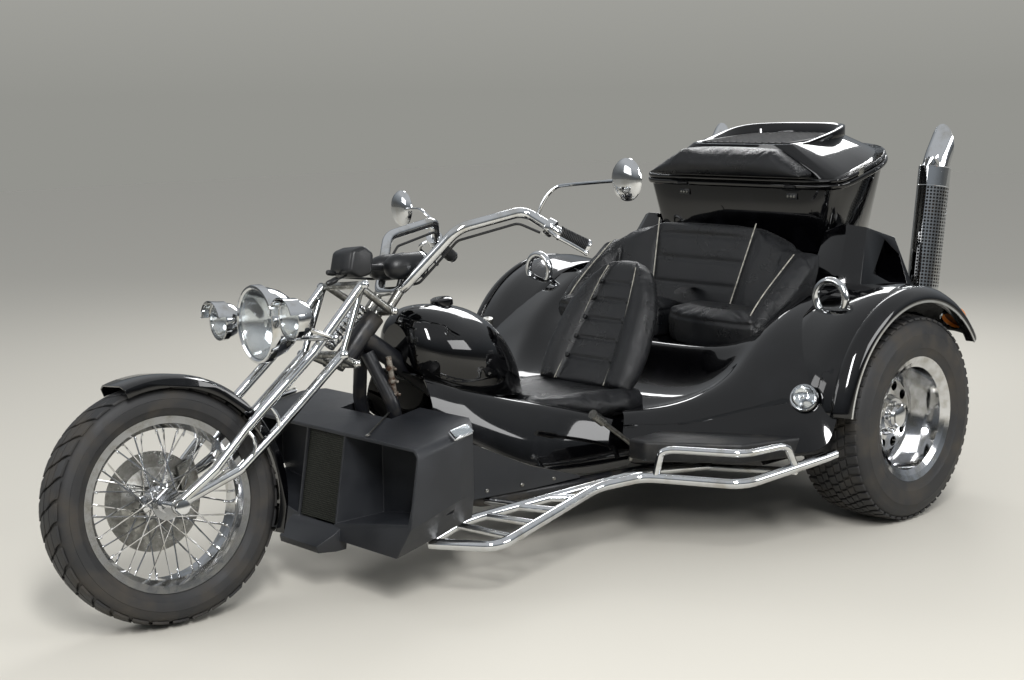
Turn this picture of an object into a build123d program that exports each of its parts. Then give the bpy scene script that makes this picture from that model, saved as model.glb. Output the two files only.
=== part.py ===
from build123d import *
import os
from math import cos, pi, radians, sin

os.makedirs("parts", exist_ok=True)

# Motorized trike, parked with its front wheel turned a little to the rider's right.
# Millimetres. X runs forward from the rear axle, Y to the rider's left and Z up from the
# ground. finish() turns the steered pieces to where they are parked and moves every piece
# so that the origin is on the ground under the middle of the vehicle.
ORIGIN_AHEAD_OF_REAR_AXLE = 937.7

WHEELBASE = 2290.0
STEERING_RAKE = 45.6
STEERING_POINT = (1610.0, 0.0, 720.0)
PARKED_STEER = -9.4

FRONT_TYRE_RADIUS = 332.0
FRONT_TYRE_WIDTH = 146.0
FRONT_RIM_RADIUS = 242.0
FRONT_AXLE_Z = 333.1
FRONT_SPOKES = 40

REAR_TYRE_RADIUS = 344.6
REAR_TYRE_WIDTH = 255.0
REAR_WHEEL_Y = 767.0
REAR_RIM_RADIUS = 208.0
REAR_WHEEL_HOLES = 10

FENDER_SIDE_Y = 900.0
ARCH_RADIUS = 388.0
ARCH_INNER_Y = 610.0

BODY_FLOOR_Z = 215.0
BENCH_HALF_WIDTH = 490.0
BENCH_DECK_Z = 555.0

CHROME_TUBE = 28.0
BAR_TUBE = 32.0
PANEL = 5.0

FRONT_AXLE = (WHEELBASE, 0.0, FRONT_AXLE_Z)
STEERING_AXIS = Axis(STEERING_POINT, (-sin(radians(STEERING_RAKE)), 0, cos(radians(STEERING_RAKE))))
LEFT_RIGHT = (1, -1)
STEM = 36.0


def on_steering_axis(along):
    """Point on the steering axis, this far down and forward from STEERING_POINT."""
    return Vector(*STEERING_POINT) - STEERING_AXIS.direction * along



def finish(piece, label, steered=False):
    """Put a finished piece where it is parked, label it and write its file."""
    if steered:
        piece.part = piece.part.rotate(STEERING_AXIS, PARKED_STEER)
    piece.part = piece.part.translate((-ORIGIN_AHEAD_OF_REAR_AXLE, 0, 0))
    piece.part.label = label
    export_step(piece.part, f"parts/{label}.step")
    box = piece.part.bounding_box()
    print(f"{label:20s} {len(piece.part.solids())} solids "
          f"x {box.min.X:7.1f} {box.max.X:7.1f} y {box.min.Y:7.1f} {box.max.Y:7.1f} "
          f"z {box.min.Z:7.1f} {box.max.Z:7.1f}")


def tube(points, diameter, bend=0.0, mode=Mode.ADD):
    """Add a round bar along straight runs whose corners are rounded to the bend radius."""
    with BuildLine() as route:
        if len(points) == 2:
            Line(*points)
        else:
            FilletPolyline(*points, radius=bend)
    path = route.wire()
    with BuildSketch(Plane(origin=path @ 0, z_dir=path % 0)) as section:
        Circle(diameter / 2)
    sweep(section.sketch, path=path, mode=mode)


def side_plate(outline, y_from, y_to, mode=Mode.ADD):
    """Add a plate with the given side-view outline between two Y positions."""
    low, high = min(y_from, y_to), max(y_from, y_to)
    with BuildSketch(Plane((0, low, 0), x_dir=(1, 0, 0), z_dir=(0, -1, 0))) as side:
        Polygon(*outline, align=None)
    extrude(side.sketch, amount=-(high - low), mode=mode)


def plan_plate(outline, z_from, z_to, mode=Mode.ADD):
    """Add a plate with the given plan outline between two heights."""
    with BuildSketch(Plane.XY.offset(z_from)) as plan:
        Polygon(*outline, align=None)
    extrude(plan.sketch, amount=z_to - z_from, mode=mode)


def mirrored(outline):
    """Close a half outline, given as (x, y) on the left, with its right-hand mirror."""
    return outline + [(x, -y) for x, y in reversed(outline)]


def wheel_plane(centre):
    """Plane for a wheel's section: its X is the radius and its Y runs along the axle."""
    return Plane(centre, x_dir=(0, 0, 1), z_dir=(-1, 0, 0))


def revolved_about_axle(centre, outline, mode=Mode.ADD):
    """Turn an outline of (radius, offset along the axle) about a wheel's axle."""
    with BuildSketch(wheel_plane(centre)) as section:
        Polygon(*outline, align=None)
    revolve(section.sketch, Axis(centre, (0, 1, 0)), mode=mode)


def tyre_section(centre, radius, half_width, bead_radius, half_bead, tread_half):
    """Section of a tyre: straight beads, bulged walls and a slightly crowned tread."""
    wall = (radius + bead_radius) / 2
    with BuildSketch(wheel_plane(centre)) as section:
        with BuildLine():
            Line((bead_radius, -half_bead), (bead_radius, half_bead))
            ThreePointArc((bead_radius, half_bead), (wall, half_width), (radius * 0.975, tread_half))
            ThreePointArc((radius * 0.975, tread_half), (radius, 0), (radius * 0.975, -tread_half))
            ThreePointArc((radius * 0.975, -tread_half), (wall, -half_width), (bead_radius, -half_bead))
        make_face()
    return section.sketch


FRONT_RIM_SECTION = [
    (216, -30), (216, 30), (228, 44), (242, 47), (242, 54), (222, 53), (208, 30), (208, -30),
    (222, -53), (242, -54), (242, -47), (228, -44)]

# Front tyre
with BuildPart() as front_tyre:
    revolve(tyre_section(FRONT_AXLE, FRONT_TYRE_RADIUS, FRONT_TYRE_WIDTH / 2, FRONT_RIM_RADIUS - 11,
                         46, FRONT_TYRE_WIDTH / 2 - 14), Axis(FRONT_AXLE, (0, 1, 0)))
    revolved_about_axle(FRONT_AXLE, FRONT_RIM_SECTION, mode=Mode.SUBTRACT)
finish(front_tyre, "front_tyre", steered=True)

# Wire-spoke front wheel: rolled rim, hub with two flanges and crossed spokes
FLANGE_RADIUS = 38.0
with BuildPart() as front_wheel:
    revolved_about_axle(FRONT_AXLE, FRONT_RIM_SECTION)
    revolved_about_axle(FRONT_AXLE, [
        (9, -52), (24, -52), (24, -40), (FLANGE_RADIUS + 6, -40), (FLANGE_RADIUS + 6, -33), (28, -28),
        (28, 28), (FLANGE_RADIUS + 6, 33), (FLANGE_RADIUS + 6, 40), (24, 40), (24, 52), (9, 52)])
    spokes = []
    for index in range(FRONT_SPOKES):
        side = LEFT_RIGHT[index % 2]
        lean = 1 if (index // 2) % 2 else -1
        rim_angle = 2 * pi * index / FRONT_SPOKES
        hub_angle = rim_angle + lean * radians(55)
        start = Vector(WHEELBASE + FLANGE_RADIUS * cos(hub_angle), side * 36,
                       FRONT_AXLE_Z + FLANGE_RADIUS * sin(hub_angle))
        end = Vector(WHEELBASE + 212 * cos(rim_angle), side * 12, FRONT_AXLE_Z + 212 * sin(rim_angle))
        with BuildSketch(Plane(start, z_dir=end - start)) as wire:
            RegularPolygon(2.4, 6)
        spokes.append(extrude(wire.sketch, amount=(end - start).length, mode=Mode.PRIVATE))
    add(spokes)
finish(front_wheel, "front_wheel", steered=True)

# Front brake disc, on the far side of the hub
with BuildPart() as front_disc:
    revolved_about_axle(FRONT_AXLE, [(24.2, -46), (24.2, -40.2), (50, -40.2), (96, -56), (140, -56), (140, -61), (94, -61), (50, -46)])
finish(front_disc, "front_disc", steered=True)

# Rear wheels
for side, name in zip(LEFT_RIGHT, ("left", "right")):
    centre = (0, side * REAR_WHEEL_Y, REAR_TYRE_RADIUS)
    with BuildPart() as rear_tyre:
        revolve(tyre_section(centre, REAR_TYRE_RADIUS, REAR_TYRE_WIDTH / 2, 194, 96,
                             REAR_TYRE_WIDTH / 2 - 18), Axis(centre, (0, 1, 0)))
        revolved_about_axle(centre, [(190, -120), (208, -120), (208, -106), (194, -96), (194, 96), (208, 106),
                                     (208, 120), (190, 120)], mode=Mode.SUBTRACT)
    finish(rear_tyre, f"rear_tyre_{name}")
    with BuildPart() as rear_wheel:
        revolved_about_axle(centre, [(r, side * y) for r, y in [
            (194, -96), (208, -106), (208, -114), (190, -108), (182, -80), (172, -40), (172, 96),
            (190, 106), (208, 114), (208, 106), (194, 96)]])
        revolved_about_axle(centre, [(r, side * y) for r, y in [
            (31, -40), (60, -40), (60, -6), (120, -6), (176, -30), (176, -18), (120, 6), (70, 8),
            (58, 30), (31, 32)]])
        revolved_about_axle(centre, [(0, side * 28), (40, side * 28), (40, side * 44), (34, side * 52),
                                     (0, side * 54)])
        with BuildSketch(Plane(centre, x_dir=(1, 0, 0), z_dir=(0, 1, 0)).offset(-60)) as holes:
            with PolarLocations(100, REAR_WHEEL_HOLES):
                Circle(17)
        extrude(holes.sketch, amount=120, mode=Mode.SUBTRACT)
    finish(rear_wheel, f"rear_wheel_{name}")

# Rear axle: gearbox casing, half-shaft tubes, stub axles and trailing arms
with BuildPart() as rear_axle:
    with BuildSketch(Plane((0, -600, REAR_TYRE_RADIUS), x_dir=(1, 0, 0), z_dir=(0, -1, 0))) as beam:
        Circle(38)
    extrude(beam.sketch, amount=-1200)
    with BuildSketch(Plane((0, -160, REAR_TYRE_RADIUS), x_dir=(1, 0, 0), z_dir=(0, -1, 0))) as casing:
        Circle(112)
    extrude(casing.sketch, amount=-320)
    for side in LEFT_RIGHT:
        with BuildSketch(Plane((0, side * 590, REAR_TYRE_RADIUS), x_dir=(1, 0, 0), z_dir=(0, side, 0))) as drum:
            Circle(95)
        extrude(drum.sketch, amount=90)
        with BuildSketch(Plane((0, side * 670, REAR_TYRE_RADIUS), x_dir=(1, 0, 0), z_dir=(0, side, 0))) as stub:
            Circle(30)
        extrude(stub.sketch, amount=125)
        side_plate([(-40, 315), (30, 300), (420, 250), (420, 290), (40, 390), (-40, 380)],
                   side * 545, side * 575)
finish(rear_axle, "rear_axle")

BACKBONE = [(1600, 0, 712), (1360, 0, 545), (1180, 0, 400), (1000, 0, 318), (700, 0, 300), (560, 0, 190)]

# Frame: head tube, down tubes, floor rails, cross tubes and rear cradle
with BuildPart() as frame:
    for side in LEFT_RIGHT:
        tube([(1600, side * 15, 668), (1560, side * 80, 520), (1500, side * 85, 240),
              (1300, side * 180, 190), (620, side * 300, 190), (0, side * 300, 190),
              (-120, side * 300, 250), (-430, side * 300, 250)], 42, 60)
        side_plate([(-30, 211), (30, 211), (30, 250), (-30, 250)], side * 285, side * 315)
    tube(BACKBONE, 60, 30)
    for x in (1250, 1000, 560, -420):
        spread = 300 if x < 600 else 180 + (1300 - x) * 120 / 680
        tube([(x, -spread, 190 if x > 0 else 250), (x, spread, 190 if x > 0 else 250)], 36)
    tube([on_steering_axis(-75), on_steering_axis(85)], 62)
    tube([on_steering_axis(-120), on_steering_axis(140)], STEM + 0.1, mode=Mode.SUBTRACT)
finish(frame, "frame")

# Engine: closed in by the body, so it is one plain block on the cradle
with BuildPart() as engine_block:
    with BuildSketch(Plane.XY.offset(272)) as footprint:
        with Locations((-310, 0)):
            Rectangle(360, 520)
    extrude(footprint.sketch, amount=270)
finish(engine_block, "engine_block")

# Radiator cowl: folded panels round the core with a scoop on each side and a chin lip
with BuildPart() as radiator_cowl:
    plan_plate(mirrored([(1480, 350), (1560, 440), (1780, 455), (1760, 230), (1745, 120)]), 160, 480)
    with BuildSketch(Plane((0, 470, 0), x_dir=(1, 0, 0), z_dir=(0, -1, 0))) as wedge:
        Polygon((1400, 496), (1790, 458), (1830, 250), (1850, 150), (1900, 560), (1400, 620), align=None)
    extrude(wedge.sketch, amount=940, mode=Mode.SUBTRACT)
    with BuildSketch(Plane((0, 470, 0), x_dir=(1, 0, 0), z_dir=(0, -1, 0))) as under:
        Polygon((1400, 100), (1400, 200), (1560, 200), (1830, 165), (1830, 100), align=None)
    extrude(under.sketch, amount=940, mode=Mode.SUBTRACT)
    for side in LEFT_RIGHT:
        plan_plate([(1500, side * 130), (1900, side * 130), (1900, side * 440), (1560, side * 425),
                    (1500, side * 345)], 215, 440, mode=Mode.SUBTRACT)
    plan_plate([(1400, -120), (1900, -120), (1900, 120), (1400, 120)], 120, 455, mode=Mode.SUBTRACT)
    plan_plate([(1400, -112), (1600, -112), (1600, 112), (1400, 112)], 400, 500, mode=Mode.SUBTRACT)
finish(radiator_cowl, "radiator_cowl")

with BuildPart() as radiator_core:
    plan_plate([(1620, -119), (1660, -119), (1660, 119), (1620, 119)], 165, 440)
finish(radiator_core, "radiator_core")

# Nose body under the tank, with sloping flanks
NOSE_SECTIONS = (  # x, half width and height at the top, half width and height at the bottom
    (1470, 118, 590, 165, 455),
    (1360, 150, 545, 205, 385),
    (1150, 170, 480, 245, 285),
    (950, 200, 430, 262, 222),
    (740, 250, 366, 290, 222),
)
with BuildPart() as nose_outer:
    for x, top_half, top_z, low_half, low_z in NOSE_SECTIONS:
        with BuildSketch(Plane((x, 0, 0), x_dir=(0, 1, 0), z_dir=(1, 0, 0))):
            Polygon((-low_half, low_z), (low_half, low_z), (top_half, top_z), (-top_half, top_z), align=None)
    loft(ruled=True)
with BuildPart() as nose_hollow:
    for x, top_half, top_z, low_half, low_z in NOSE_SECTIONS:
        with BuildSketch(Plane((x, 0, 0), x_dir=(0, 1, 0), z_dir=(1, 0, 0))):
            Polygon((PANEL - low_half, low_z - 60), (low_half - PANEL, low_z - 60),
                    (low_half - PANEL, low_z), (top_half - PANEL, top_z - PANEL),
                    (PANEL - top_half, top_z - PANEL), (PANEL - low_half, low_z), align=None)
    loft(ruled=True)
with BuildPart() as nose_body:
    add(nose_outer.part)
    add(nose_hollow.part, mode=Mode.SUBTRACT)
    tube(BACKBONE, 66, 33, mode=Mode.SUBTRACT)
finish(nose_body, "nose_body")

# Fuel tank
TANK_SECTIONS = (  # x, half width, height of the lower seam, height of the crown
    (1478, 60, 630, 742),
    (1430, 128, 575, 785),
    (1300, 160, 520, 785),
    (1150, 140, 490, 735),
    (1040, 80, 470, 610),
    (975, 25, 455, 490),
)
with BuildPart() as fuel_tank:
    for x, half, seam_z, crown_z in TANK_SECTIONS:
        with BuildSketch(Plane((x, 0, 0), x_dir=(0, 1, 0), z_dir=(1, 0, 0))):
            with BuildLine():
                Line((-half * 0.8, seam_z), (half * 0.8, seam_z))
                ThreePointArc((half * 0.8, seam_z), (half, seam_z + (crown_z - seam_z) * 0.45), (0, crown_z))
                ThreePointArc((0, crown_z), (-half, seam_z + (crown_z - seam_z) * 0.45), (-half * 0.8, seam_z))
            make_face()
    loft()
    add(nose_outer.part, mode=Mode.SUBTRACT)
    tube(BACKBONE, 70, 35, mode=Mode.SUBTRACT)

# Rear body: tub, bench deck and fenders, cut from one moulded outline
BODY_SIDE = [(740, 222), (740, 366), (600, 400), (480, 500), (350, 650), (200, 722), (0, 765), (-200, 752),
             (-380, 690), (-520, 560), (-600, 450), (-600, 350), (-440, 222)]
BODY_PLAN = mirrored([(740, 250), (600, 380), (466, 620), (400, 740), (300, 820), (180, 880), (60, 900),
                      (-330, 900), (-450, 860), (-560, 760), (-620, 600)])
with BuildPart() as body_outer:
    side_plate(BODY_SIDE, -900, 900)
    plan_plate(BODY_PLAN, 200, 900, mode=Mode.INTERSECT)
    side_plate([(800, 382), (520, 382), (470, BENCH_DECK_Z), (-90, BENCH_DECK_Z), (-90, 900), (800, 900)],
               -BENCH_HALF_WIDTH, BENCH_HALF_WIDTH, mode=Mode.SUBTRACT)
with BuildPart() as body_hollow:
    side_plate([(800, 150), (800, 340), (600, 376), (515, 376), (465, BENCH_DECK_Z - PANEL),
                (-96, BENCH_DECK_Z - PANEL), (-96, 700), (-200, 700), (-375, 680), (-512, 552), (-594, 440), (-594, 150)],
               -604, 604)
    plan_plate(mirrored([(900, 96), (735, 244), (595, 373), (460, 604), (-594, 604)]), 150, 900,
               mode=Mode.INTERSECT)
with BuildPart() as rear_body:
    add(body_outer.part)
    add(body_hollow.part, mode=Mode.SUBTRACT)
    for side in LEFT_RIGHT:
        arch_plane = Plane((0, side * ARCH_INNER_Y, REAR_TYRE_RADIUS), x_dir=(1, 0, 0), z_dir=(0, side, 0))
        with BuildSketch(arch_plane) as arch:
            Circle(ARCH_RADIUS)
        extrude(arch.sketch, amount=400, mode=Mode.SUBTRACT)
        with BuildSketch(arch_plane.offset(-30)) as drum_hole:
            Circle(120)
        extrude(drum_hole.sketch, amount=60, mode=Mode.SUBTRACT)
        tube([(-546, side * 520, 440), (-584, side * 520, 690), (-608, side * 520, 848)], 112, 60,
             mode=Mode.SUBTRACT)

# Driver's bucket seat
with BuildPart() as driver_seat:
    plan_plate(mirrored([(1070, 120), (1030, 150), (860, 230), (640, 265), (600, 240)]), 340, 462)
    add(nose_outer.part, mode=Mode.SUBTRACT)
    add(body_outer.part, mode=Mode.SUBTRACT)
    add(fuel_tank.part, mode=Mode.SUBTRACT)
finish(fuel_tank, "fuel_tank")

with BuildPart() as driver_backrest:
    with BuildSketch(Plane((700, 0, 470), x_dir=(0, 1, 0), z_dir=(0.861, 0, 0.508))) as front:
        Polygon((-235, 0), (235, 0), (250, 150), (235, 300), (130, 430), (-130, 430), (-235, 300),
                (-250, 150), align=None)
    extrude(front.sketch, amount=-95)
    add(driver_seat.part, mode=Mode.SUBTRACT)
finish(driver_seat, "driver_seat")
finish(driver_backrest, "driver_backrest")

finish(rear_body, "rear_body")

# Raised flare round each wheel opening
with BuildPart() as fender_flares:
    for side in LEFT_RIGHT:
        with BuildSketch(Plane((0, side * 868, REAR_TYRE_RADIUS), x_dir=(1, 0, 0), z_dir=(0, -1, 0))) as band:
            with BuildLine():
                Line((378 * cos(radians(-6)), 378 * sin(radians(-6))), (402 * cos(radians(-6)), 402 * sin(radians(-6))))
                CenterArc((0, 0), 402, -6, 200)
                Line((402 * cos(radians(194)), 402 * sin(radians(194))), (378 * cos(radians(194)), 378 * sin(radians(194))))
                CenterArc((0, 0), 378, 194, -200)
            make_face()
        extrude(band.sketch, amount=-side * 32)
    add(body_outer.part, mode=Mode.SUBTRACT)
finish(fender_flares, "fender_flares")

# Rear bench: two cushions and one wrap-round backrest
with BuildPart() as rear_cushions:
    for side in LEFT_RIGHT:
        plan_plate([(268, side * 12), (350, side * 415), (350, side * 480), (112, side * 480), (112, side * 12)],
                   BENCH_DECK_Z, 692)
with BuildPart() as rear_backrest:
    with BuildSketch(Plane((110, 0, 690), x_dir=(0, 1, 0), z_dir=(0.949, 0, 0.316))) as front:
        Polygon((-480, -142), (480, -142), (480, 190), (380, 260), (235, 308), (-235, 308), (-380, 260),
                (-480, 190), align=None)
    extrude(front.sketch, amount=-80)
    side_plate([(330, 560), (330, 640), (250, 730), (60, 875), (-30, 875), (0, 700), (60, 560)], 424, 486)
    side_plate([(330, 560), (330, 640), (250, 730), (60, 875), (-30, 875), (0, 700), (60, 560)], -486, -424)
    plan_plate([(-200, -600), (400, -600), (400, 600), (-200, 600)], 400, BENCH_DECK_Z, mode=Mode.SUBTRACT)
    add(rear_cushions.part, mode=Mode.SUBTRACT)
finish(rear_cushions, "rear_cushions")
finish(rear_backrest, "rear_backrest")

# Trunk: a flared box and a lid that part on a plane rising to the rear
TRUNK_FLOOR_Z = 850.0
RIM_PLANE = Plane((-150, 0, 1092), x_dir=(cos(radians(13.6)), 0, -sin(radians(13.6))),
                  z_dir=(sin(radians(13.6)), 0, cos(radians(13.6))))
TRUNK_FLOOR = [(-172, 330), (-192, 392), (-420, 372), (-540, 300), (-585, 150)]
TRUNK_RIM = [(0, 385), (-20, 458), (-300, 440), (-440, 350), (-492, 180)]
LID_TOP = [(36, 225), (-20, 290), (-300, 300), (-420, 240), (-470, 130)]


def trunk_solid(inset, floor_rise, mode=Mode.ADD):
    """Loft the flared box, each side pulled in by the inset."""
    with BuildSketch(Plane.XY.offset(TRUNK_FLOOR_Z + floor_rise)) as floor:
        Polygon(*mirrored(TRUNK_FLOOR), align=None)
        if inset:
            offset(amount=-inset, kind=Kind.INTERSECTION, mode=Mode.REPLACE)
    with BuildSketch(RIM_PLANE) as rim:
        Polygon(*mirrored(TRUNK_RIM), align=None)
        if inset:
            offset(amount=-inset, kind=Kind.INTERSECTION, mode=Mode.REPLACE)
    loft(sections=[floor.sketch, rim.sketch], ruled=True, mode=mode)


with BuildPart() as trunk_box:
    trunk_solid(0, 0)
    trunk_solid(PANEL, PANEL, mode=Mode.SUBTRACT)
    plan_plate([(-500, -330), (-500, 330), (-220, 330), (-220, -330)], 776, TRUNK_FLOOR_Z)
finish(trunk_box, "trunk_box")

with BuildPart() as trunk_lid:
    for inset, drop, mode in ((0, 0, Mode.ADD), (PANEL, PANEL, Mode.SUBTRACT)):
        with BuildSketch(RIM_PLANE.offset(1 if not inset else 0.9)) as rim:
            Polygon(*mirrored(TRUNK_RIM), align=None)
            if inset:
                offset(amount=-inset, kind=Kind.INTERSECTION, mode=Mode.REPLACE)
        with BuildSketch(Plane((-150, 0, 1226 - drop), x_dir=(1, 0, 0), z_dir=(0, 0, 1))) as top:
            Polygon(*mirrored(LID_TOP), align=None)
            if inset:
                offset(amount=-inset, kind=Kind.INTERSECTION, mode=Mode.REPLACE)
        loft(sections=[rim.sketch, top.sketch], ruled=True, mode=mode)
with BuildPart() as lid_pad:
    with BuildSketch(Plane((-70, 0, 0), x_dir=(0, 1, 0), z_dir=(1, 0, 0))) as pad:
        Polygon((-380, 1112), (380, 1112), (380, 1140), (225, 1222), (-225, 1222), (-380, 1140), align=None)
    extrude(pad.sketch, amount=-90)
    add(trunk_lid.part, mode=Mode.SUBTRACT)
    with BuildSketch(Plane((-160, 0, 0), x_dir=(0, 1, 0), z_dir=(1, 0, 0))) as behind:
        Rectangle(900, 3000)
    with BuildSketch(RIM_PLANE) as under:
        Rectangle(1200, 1200)
    extrude(under.sketch, amount=-100, mode=Mode.SUBTRACT)
print(len(lid_pad.part.solids()))
lid_pad.part = Part() + lid_pad.part.solids().sort_by(Axis.X)[-1]
finish(trunk_lid, "trunk_lid")
finish(lid_pad, "lid_pad")

# Upright exhaust stacks with heat shields and slash-cut tips
with BuildPart() as exhaust_pipes:
    for side in LEFT_RIGHT:
        tube([(-430, side * 260, 420), (-430, side * 400, 420), (-546, side * 520, 440), (-584, side * 520, 690),
              (-655, side * 520, 1165), (-705, side * 520, 1278)], 85, 60)
finish(exhaust_pipes, "exhaust_pipes")

with BuildPart() as stack_shields:
    for side in LEFT_RIGHT:
        tube([(-584, side * 520, 690), (-651, side * 520, 1137)], 117)
        tube([(-577, side * 520, 643), (-658, side * 520, 1184)], 85.6, mode=Mode.SUBTRACT)
finish(stack_shields, "stack_shields")

# Rear deck: buttresses that carry the trunk
with BuildPart() as rear_deck:
    side_plate([(-90, 700), (-70, 858), (-262, 948), (-401, 885), (-430, 690), (-380, 650), (-100, 700)], 440, 560)
    side_plate([(-90, 700), (-70, 858), (-262, 948), (-401, 885), (-430, 690), (-380, 650), (-100, 700)], -560, -440)
    add(body_outer.part, mode=Mode.SUBTRACT)
    trunk_solid(-2, -2, mode=Mode.SUBTRACT)
finish(rear_deck, "rear_deck")

# Grab hoops beside the bench
with BuildPart() as grab_hoops:
    for side in LEFT_RIGHT:
        with BuildSketch(Plane((208, side * 683 + 58, 750), x_dir=(0, 1, 0), z_dir=(0, 0, 1))) as section:
            Circle(13)
        revolve(section.sketch, Axis((208, side * 683, 750), (1, 0, 0)))
    add(body_outer.part, mode=Mode.SUBTRACT)
finish(grab_hoops, "grab_hoops")

# Step boards with a rail round them and a ladder of foot rungs ahead
STEP_BOARD = [(874, 400), (874, 470), (700, 715), (430, 800), (350, 800), (310, 560), (500, 480), (640, 390)]
with BuildPart() as step_boards:
    for side in LEFT_RIGHT:
        plan_plate([(x, side * y) for x, y in STEP_BOARD], 285, 348)
    add(body_outer.part, mode=Mode.SUBTRACT)
finish(step_boards, "step_boards")

with BuildPart() as step_rails:
    for side in LEFT_RIGHT:
        tube([(x, side * y, z) for x, y, z in (
            (1580, 300, 158), (1560, 450, 158), (1440, 500, 160), (1110, 540, 244), (680, 752, 210),
            (400, 842, 236), (368, 852, 240))], CHROME_TUBE, 60)
        tube([(x, side * y, z) for x, y, z in (
            (1575, 330, 158), (1460, 335, 158), (1120, 400, 228), (1000, 562, 235))], CHROME_TUBE, 50)
        for x in (1430, 1340, 1250, 1160):
            rise = (1440 - x) / 330 * 84 if x < 1440 else 0
            tube([(x, side * 345, 160 + rise * 0.85), (x, side * 510, 160 + rise)], 22)
        tube([(690, side * 748, 211), (690, side * 748, 385), (440, side * 828, 385), (440, side * 828, 232)],
             20, 40)
        tube([(1300, side * 180, 190), (1300, side * 360, 190)], 24)
        tube([(560, side * 300, 190), (560, side * 790, 222)], 24)
    add(frame.part.translate((ORIGIN_AHEAD_OF_REAR_AXLE, 0, 0)), mode=Mode.SUBTRACT)
finish(step_rails, "step_rails")

# Lamps
with BuildPart() as clear_lamps:
    for side in LEFT_RIGHT:
        with BuildSketch(Plane((1700, side * 440, 470), x_dir=(0, 1, 0), z_dir=(0.1, 0, 0.995))) as corner:
            RectangleRounded(36, 90, 10)
        extrude(corner.sketch, amount=22)
        with BuildSketch(Plane((401, side * 720, 455), x_dir=(0, 0, 1), z_dir=(0.6, side * 0.8, 0))) as round_lamp:
            Circle(42)
        extrude(round_lamp.sketch, amount=24, both=True)
    add(body_outer.part, mode=Mode.SUBTRACT)
    add(radiator_cowl.part.translate((ORIGIN_AHEAD_OF_REAR_AXLE, 0, 0)), mode=Mode.SUBTRACT)
finish(clear_lamps, "clear_lamps")

with BuildPart() as tail_lamps:
    for side in LEFT_RIGHT:
        with BuildSketch(Plane((-440, side * 800, 600), x_dir=(0, 1, 0), z_dir=(-0.75, 0, 0.66))) as lens:
            Circle(45)
        extrude(lens.sketch, amount=70)
    add(body_outer.part, mode=Mode.SUBTRACT)
finish(tail_lamps, "tail_lamps")

# Plate bracket, bare, behind the body
with BuildPart() as plate_bracket:
    plan_plate([(-640, -120), (-634, -120), (-634, 120), (-640, 120)], 300, 480)
    plan_plate([(-636, -60), (-490, -60), (-490, 60), (-636, 60)], 276, 300)
    with BuildSketch(Plane((-640, 0, 390), x_dir=(0, 1, 0), z_dir=(-1, 0, 0))) as holes:
        with GridLocations(180, 120, 2, 2):
            Circle(3.5)
    extrude(holes.sketch, amount=-10, mode=Mode.SUBTRACT)
finish(plate_bracket, "plate_bracket")

# Hand levers: parking brake on the left, gear lever on the right
with BuildPart() as hand_levers:
    tube([(776, 318, 250), (776, 330, 300), (950, 345, 415)], 16, 20)
    tube([(930, 344, 402), (980, 347, 435)], 30)
    tube([(870, -330, 250), (870, -250, 480), (890, -225, 600)], 14, 60)
    tube([(888, -227, 590), (905, -214, 676)], 34)
finish(hand_levers, "hand_levers")

# Steering stem, the girder fork's links and the risers that carry the bars
UPPER_LINK = ((1656, 874), (1542, 786))
LOWER_LINK = ((1745, 679), (1685, 646))
with BuildPart() as fork_yoke:
    tube([on_steering_axis(-115), on_steering_axis(122)], STEM)
    for (front_x, front_z), (rear_x, rear_z) in (UPPER_LINK, LOWER_LINK):
        for side in LEFT_RIGHT:
            tube([(front_x, side * 84, front_z), (rear_x, side * 76, rear_z)], 24)
        tube([(front_x, -100, front_z), (front_x, 100, front_z)], 22)
        tube([(rear_x, -78, rear_z), (rear_x, 78, rear_z)], 26)
    for side in LEFT_RIGHT:
        tube([(1546, side * 58, 786), (1496, side * 58, 840)], 28)

with BuildPart() as fork_legs:
    for side in LEFT_RIGHT:
        tube([(1656, side * 114, 874), (1840, side * 114, 694), (2072, side * 114, 509), (2174, side * 112, 414),
              (WHEELBASE, side * 96, FRONT_AXLE_Z)], CHROME_TUBE, 60)
        tube([(1745, side * 114, 679), (1974, side * 114, 495), (2100, side * 112, 402),
              (WHEELBASE - 12, side * 96, FRONT_AXLE_Z + 4)], CHROME_TUBE, 60)
        tube([(1745, side * 114, 679), (1656, side * 114, 874)], 20)
    tube([(WHEELBASE, -120, FRONT_AXLE_Z), (WHEELBASE, 120, FRONT_AXLE_Z)], 17.8)
    add(fork_yoke.part, mode=Mode.SUBTRACT)

# Coil springs in front of the steering head, as their outer form
with BuildPart() as fork_springs:
    for side in LEFT_RIGHT:
        tube([(1744, side * 32, 708), (1620, side * 32, 803)], 44)
    add(fork_yoke.part, mode=Mode.SUBTRACT)

# Front fender: a skirted band round the tyre, held to the fork legs
FENDER_START, FENDER_END = 203, 72
with BuildPart() as front_fender:
    start = radians(FENDER_START)
    with BuildSketch(Plane(FRONT_AXLE, x_dir=(cos(start), 0, sin(start)), z_dir=(-sin(start), 0, cos(start)))) as u:
        Polygon((320, 86), (344, 86), (356, 60), (356, -60), (344, -86), (320, -86), (320, -82), (342, -82),
                (352, -58), (352, 58), (342, 82), (320, 82), align=None)
    revolve(u.sketch, Axis(FRONT_AXLE, (0, 1, 0)), revolution_arc=FENDER_START - FENDER_END)
    for side in LEFT_RIGHT:
        tube([(2025, side * 84, 546), (2025, side * 112, 546)], 20)
    add(fork_legs.part, mode=Mode.SUBTRACT)

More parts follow.
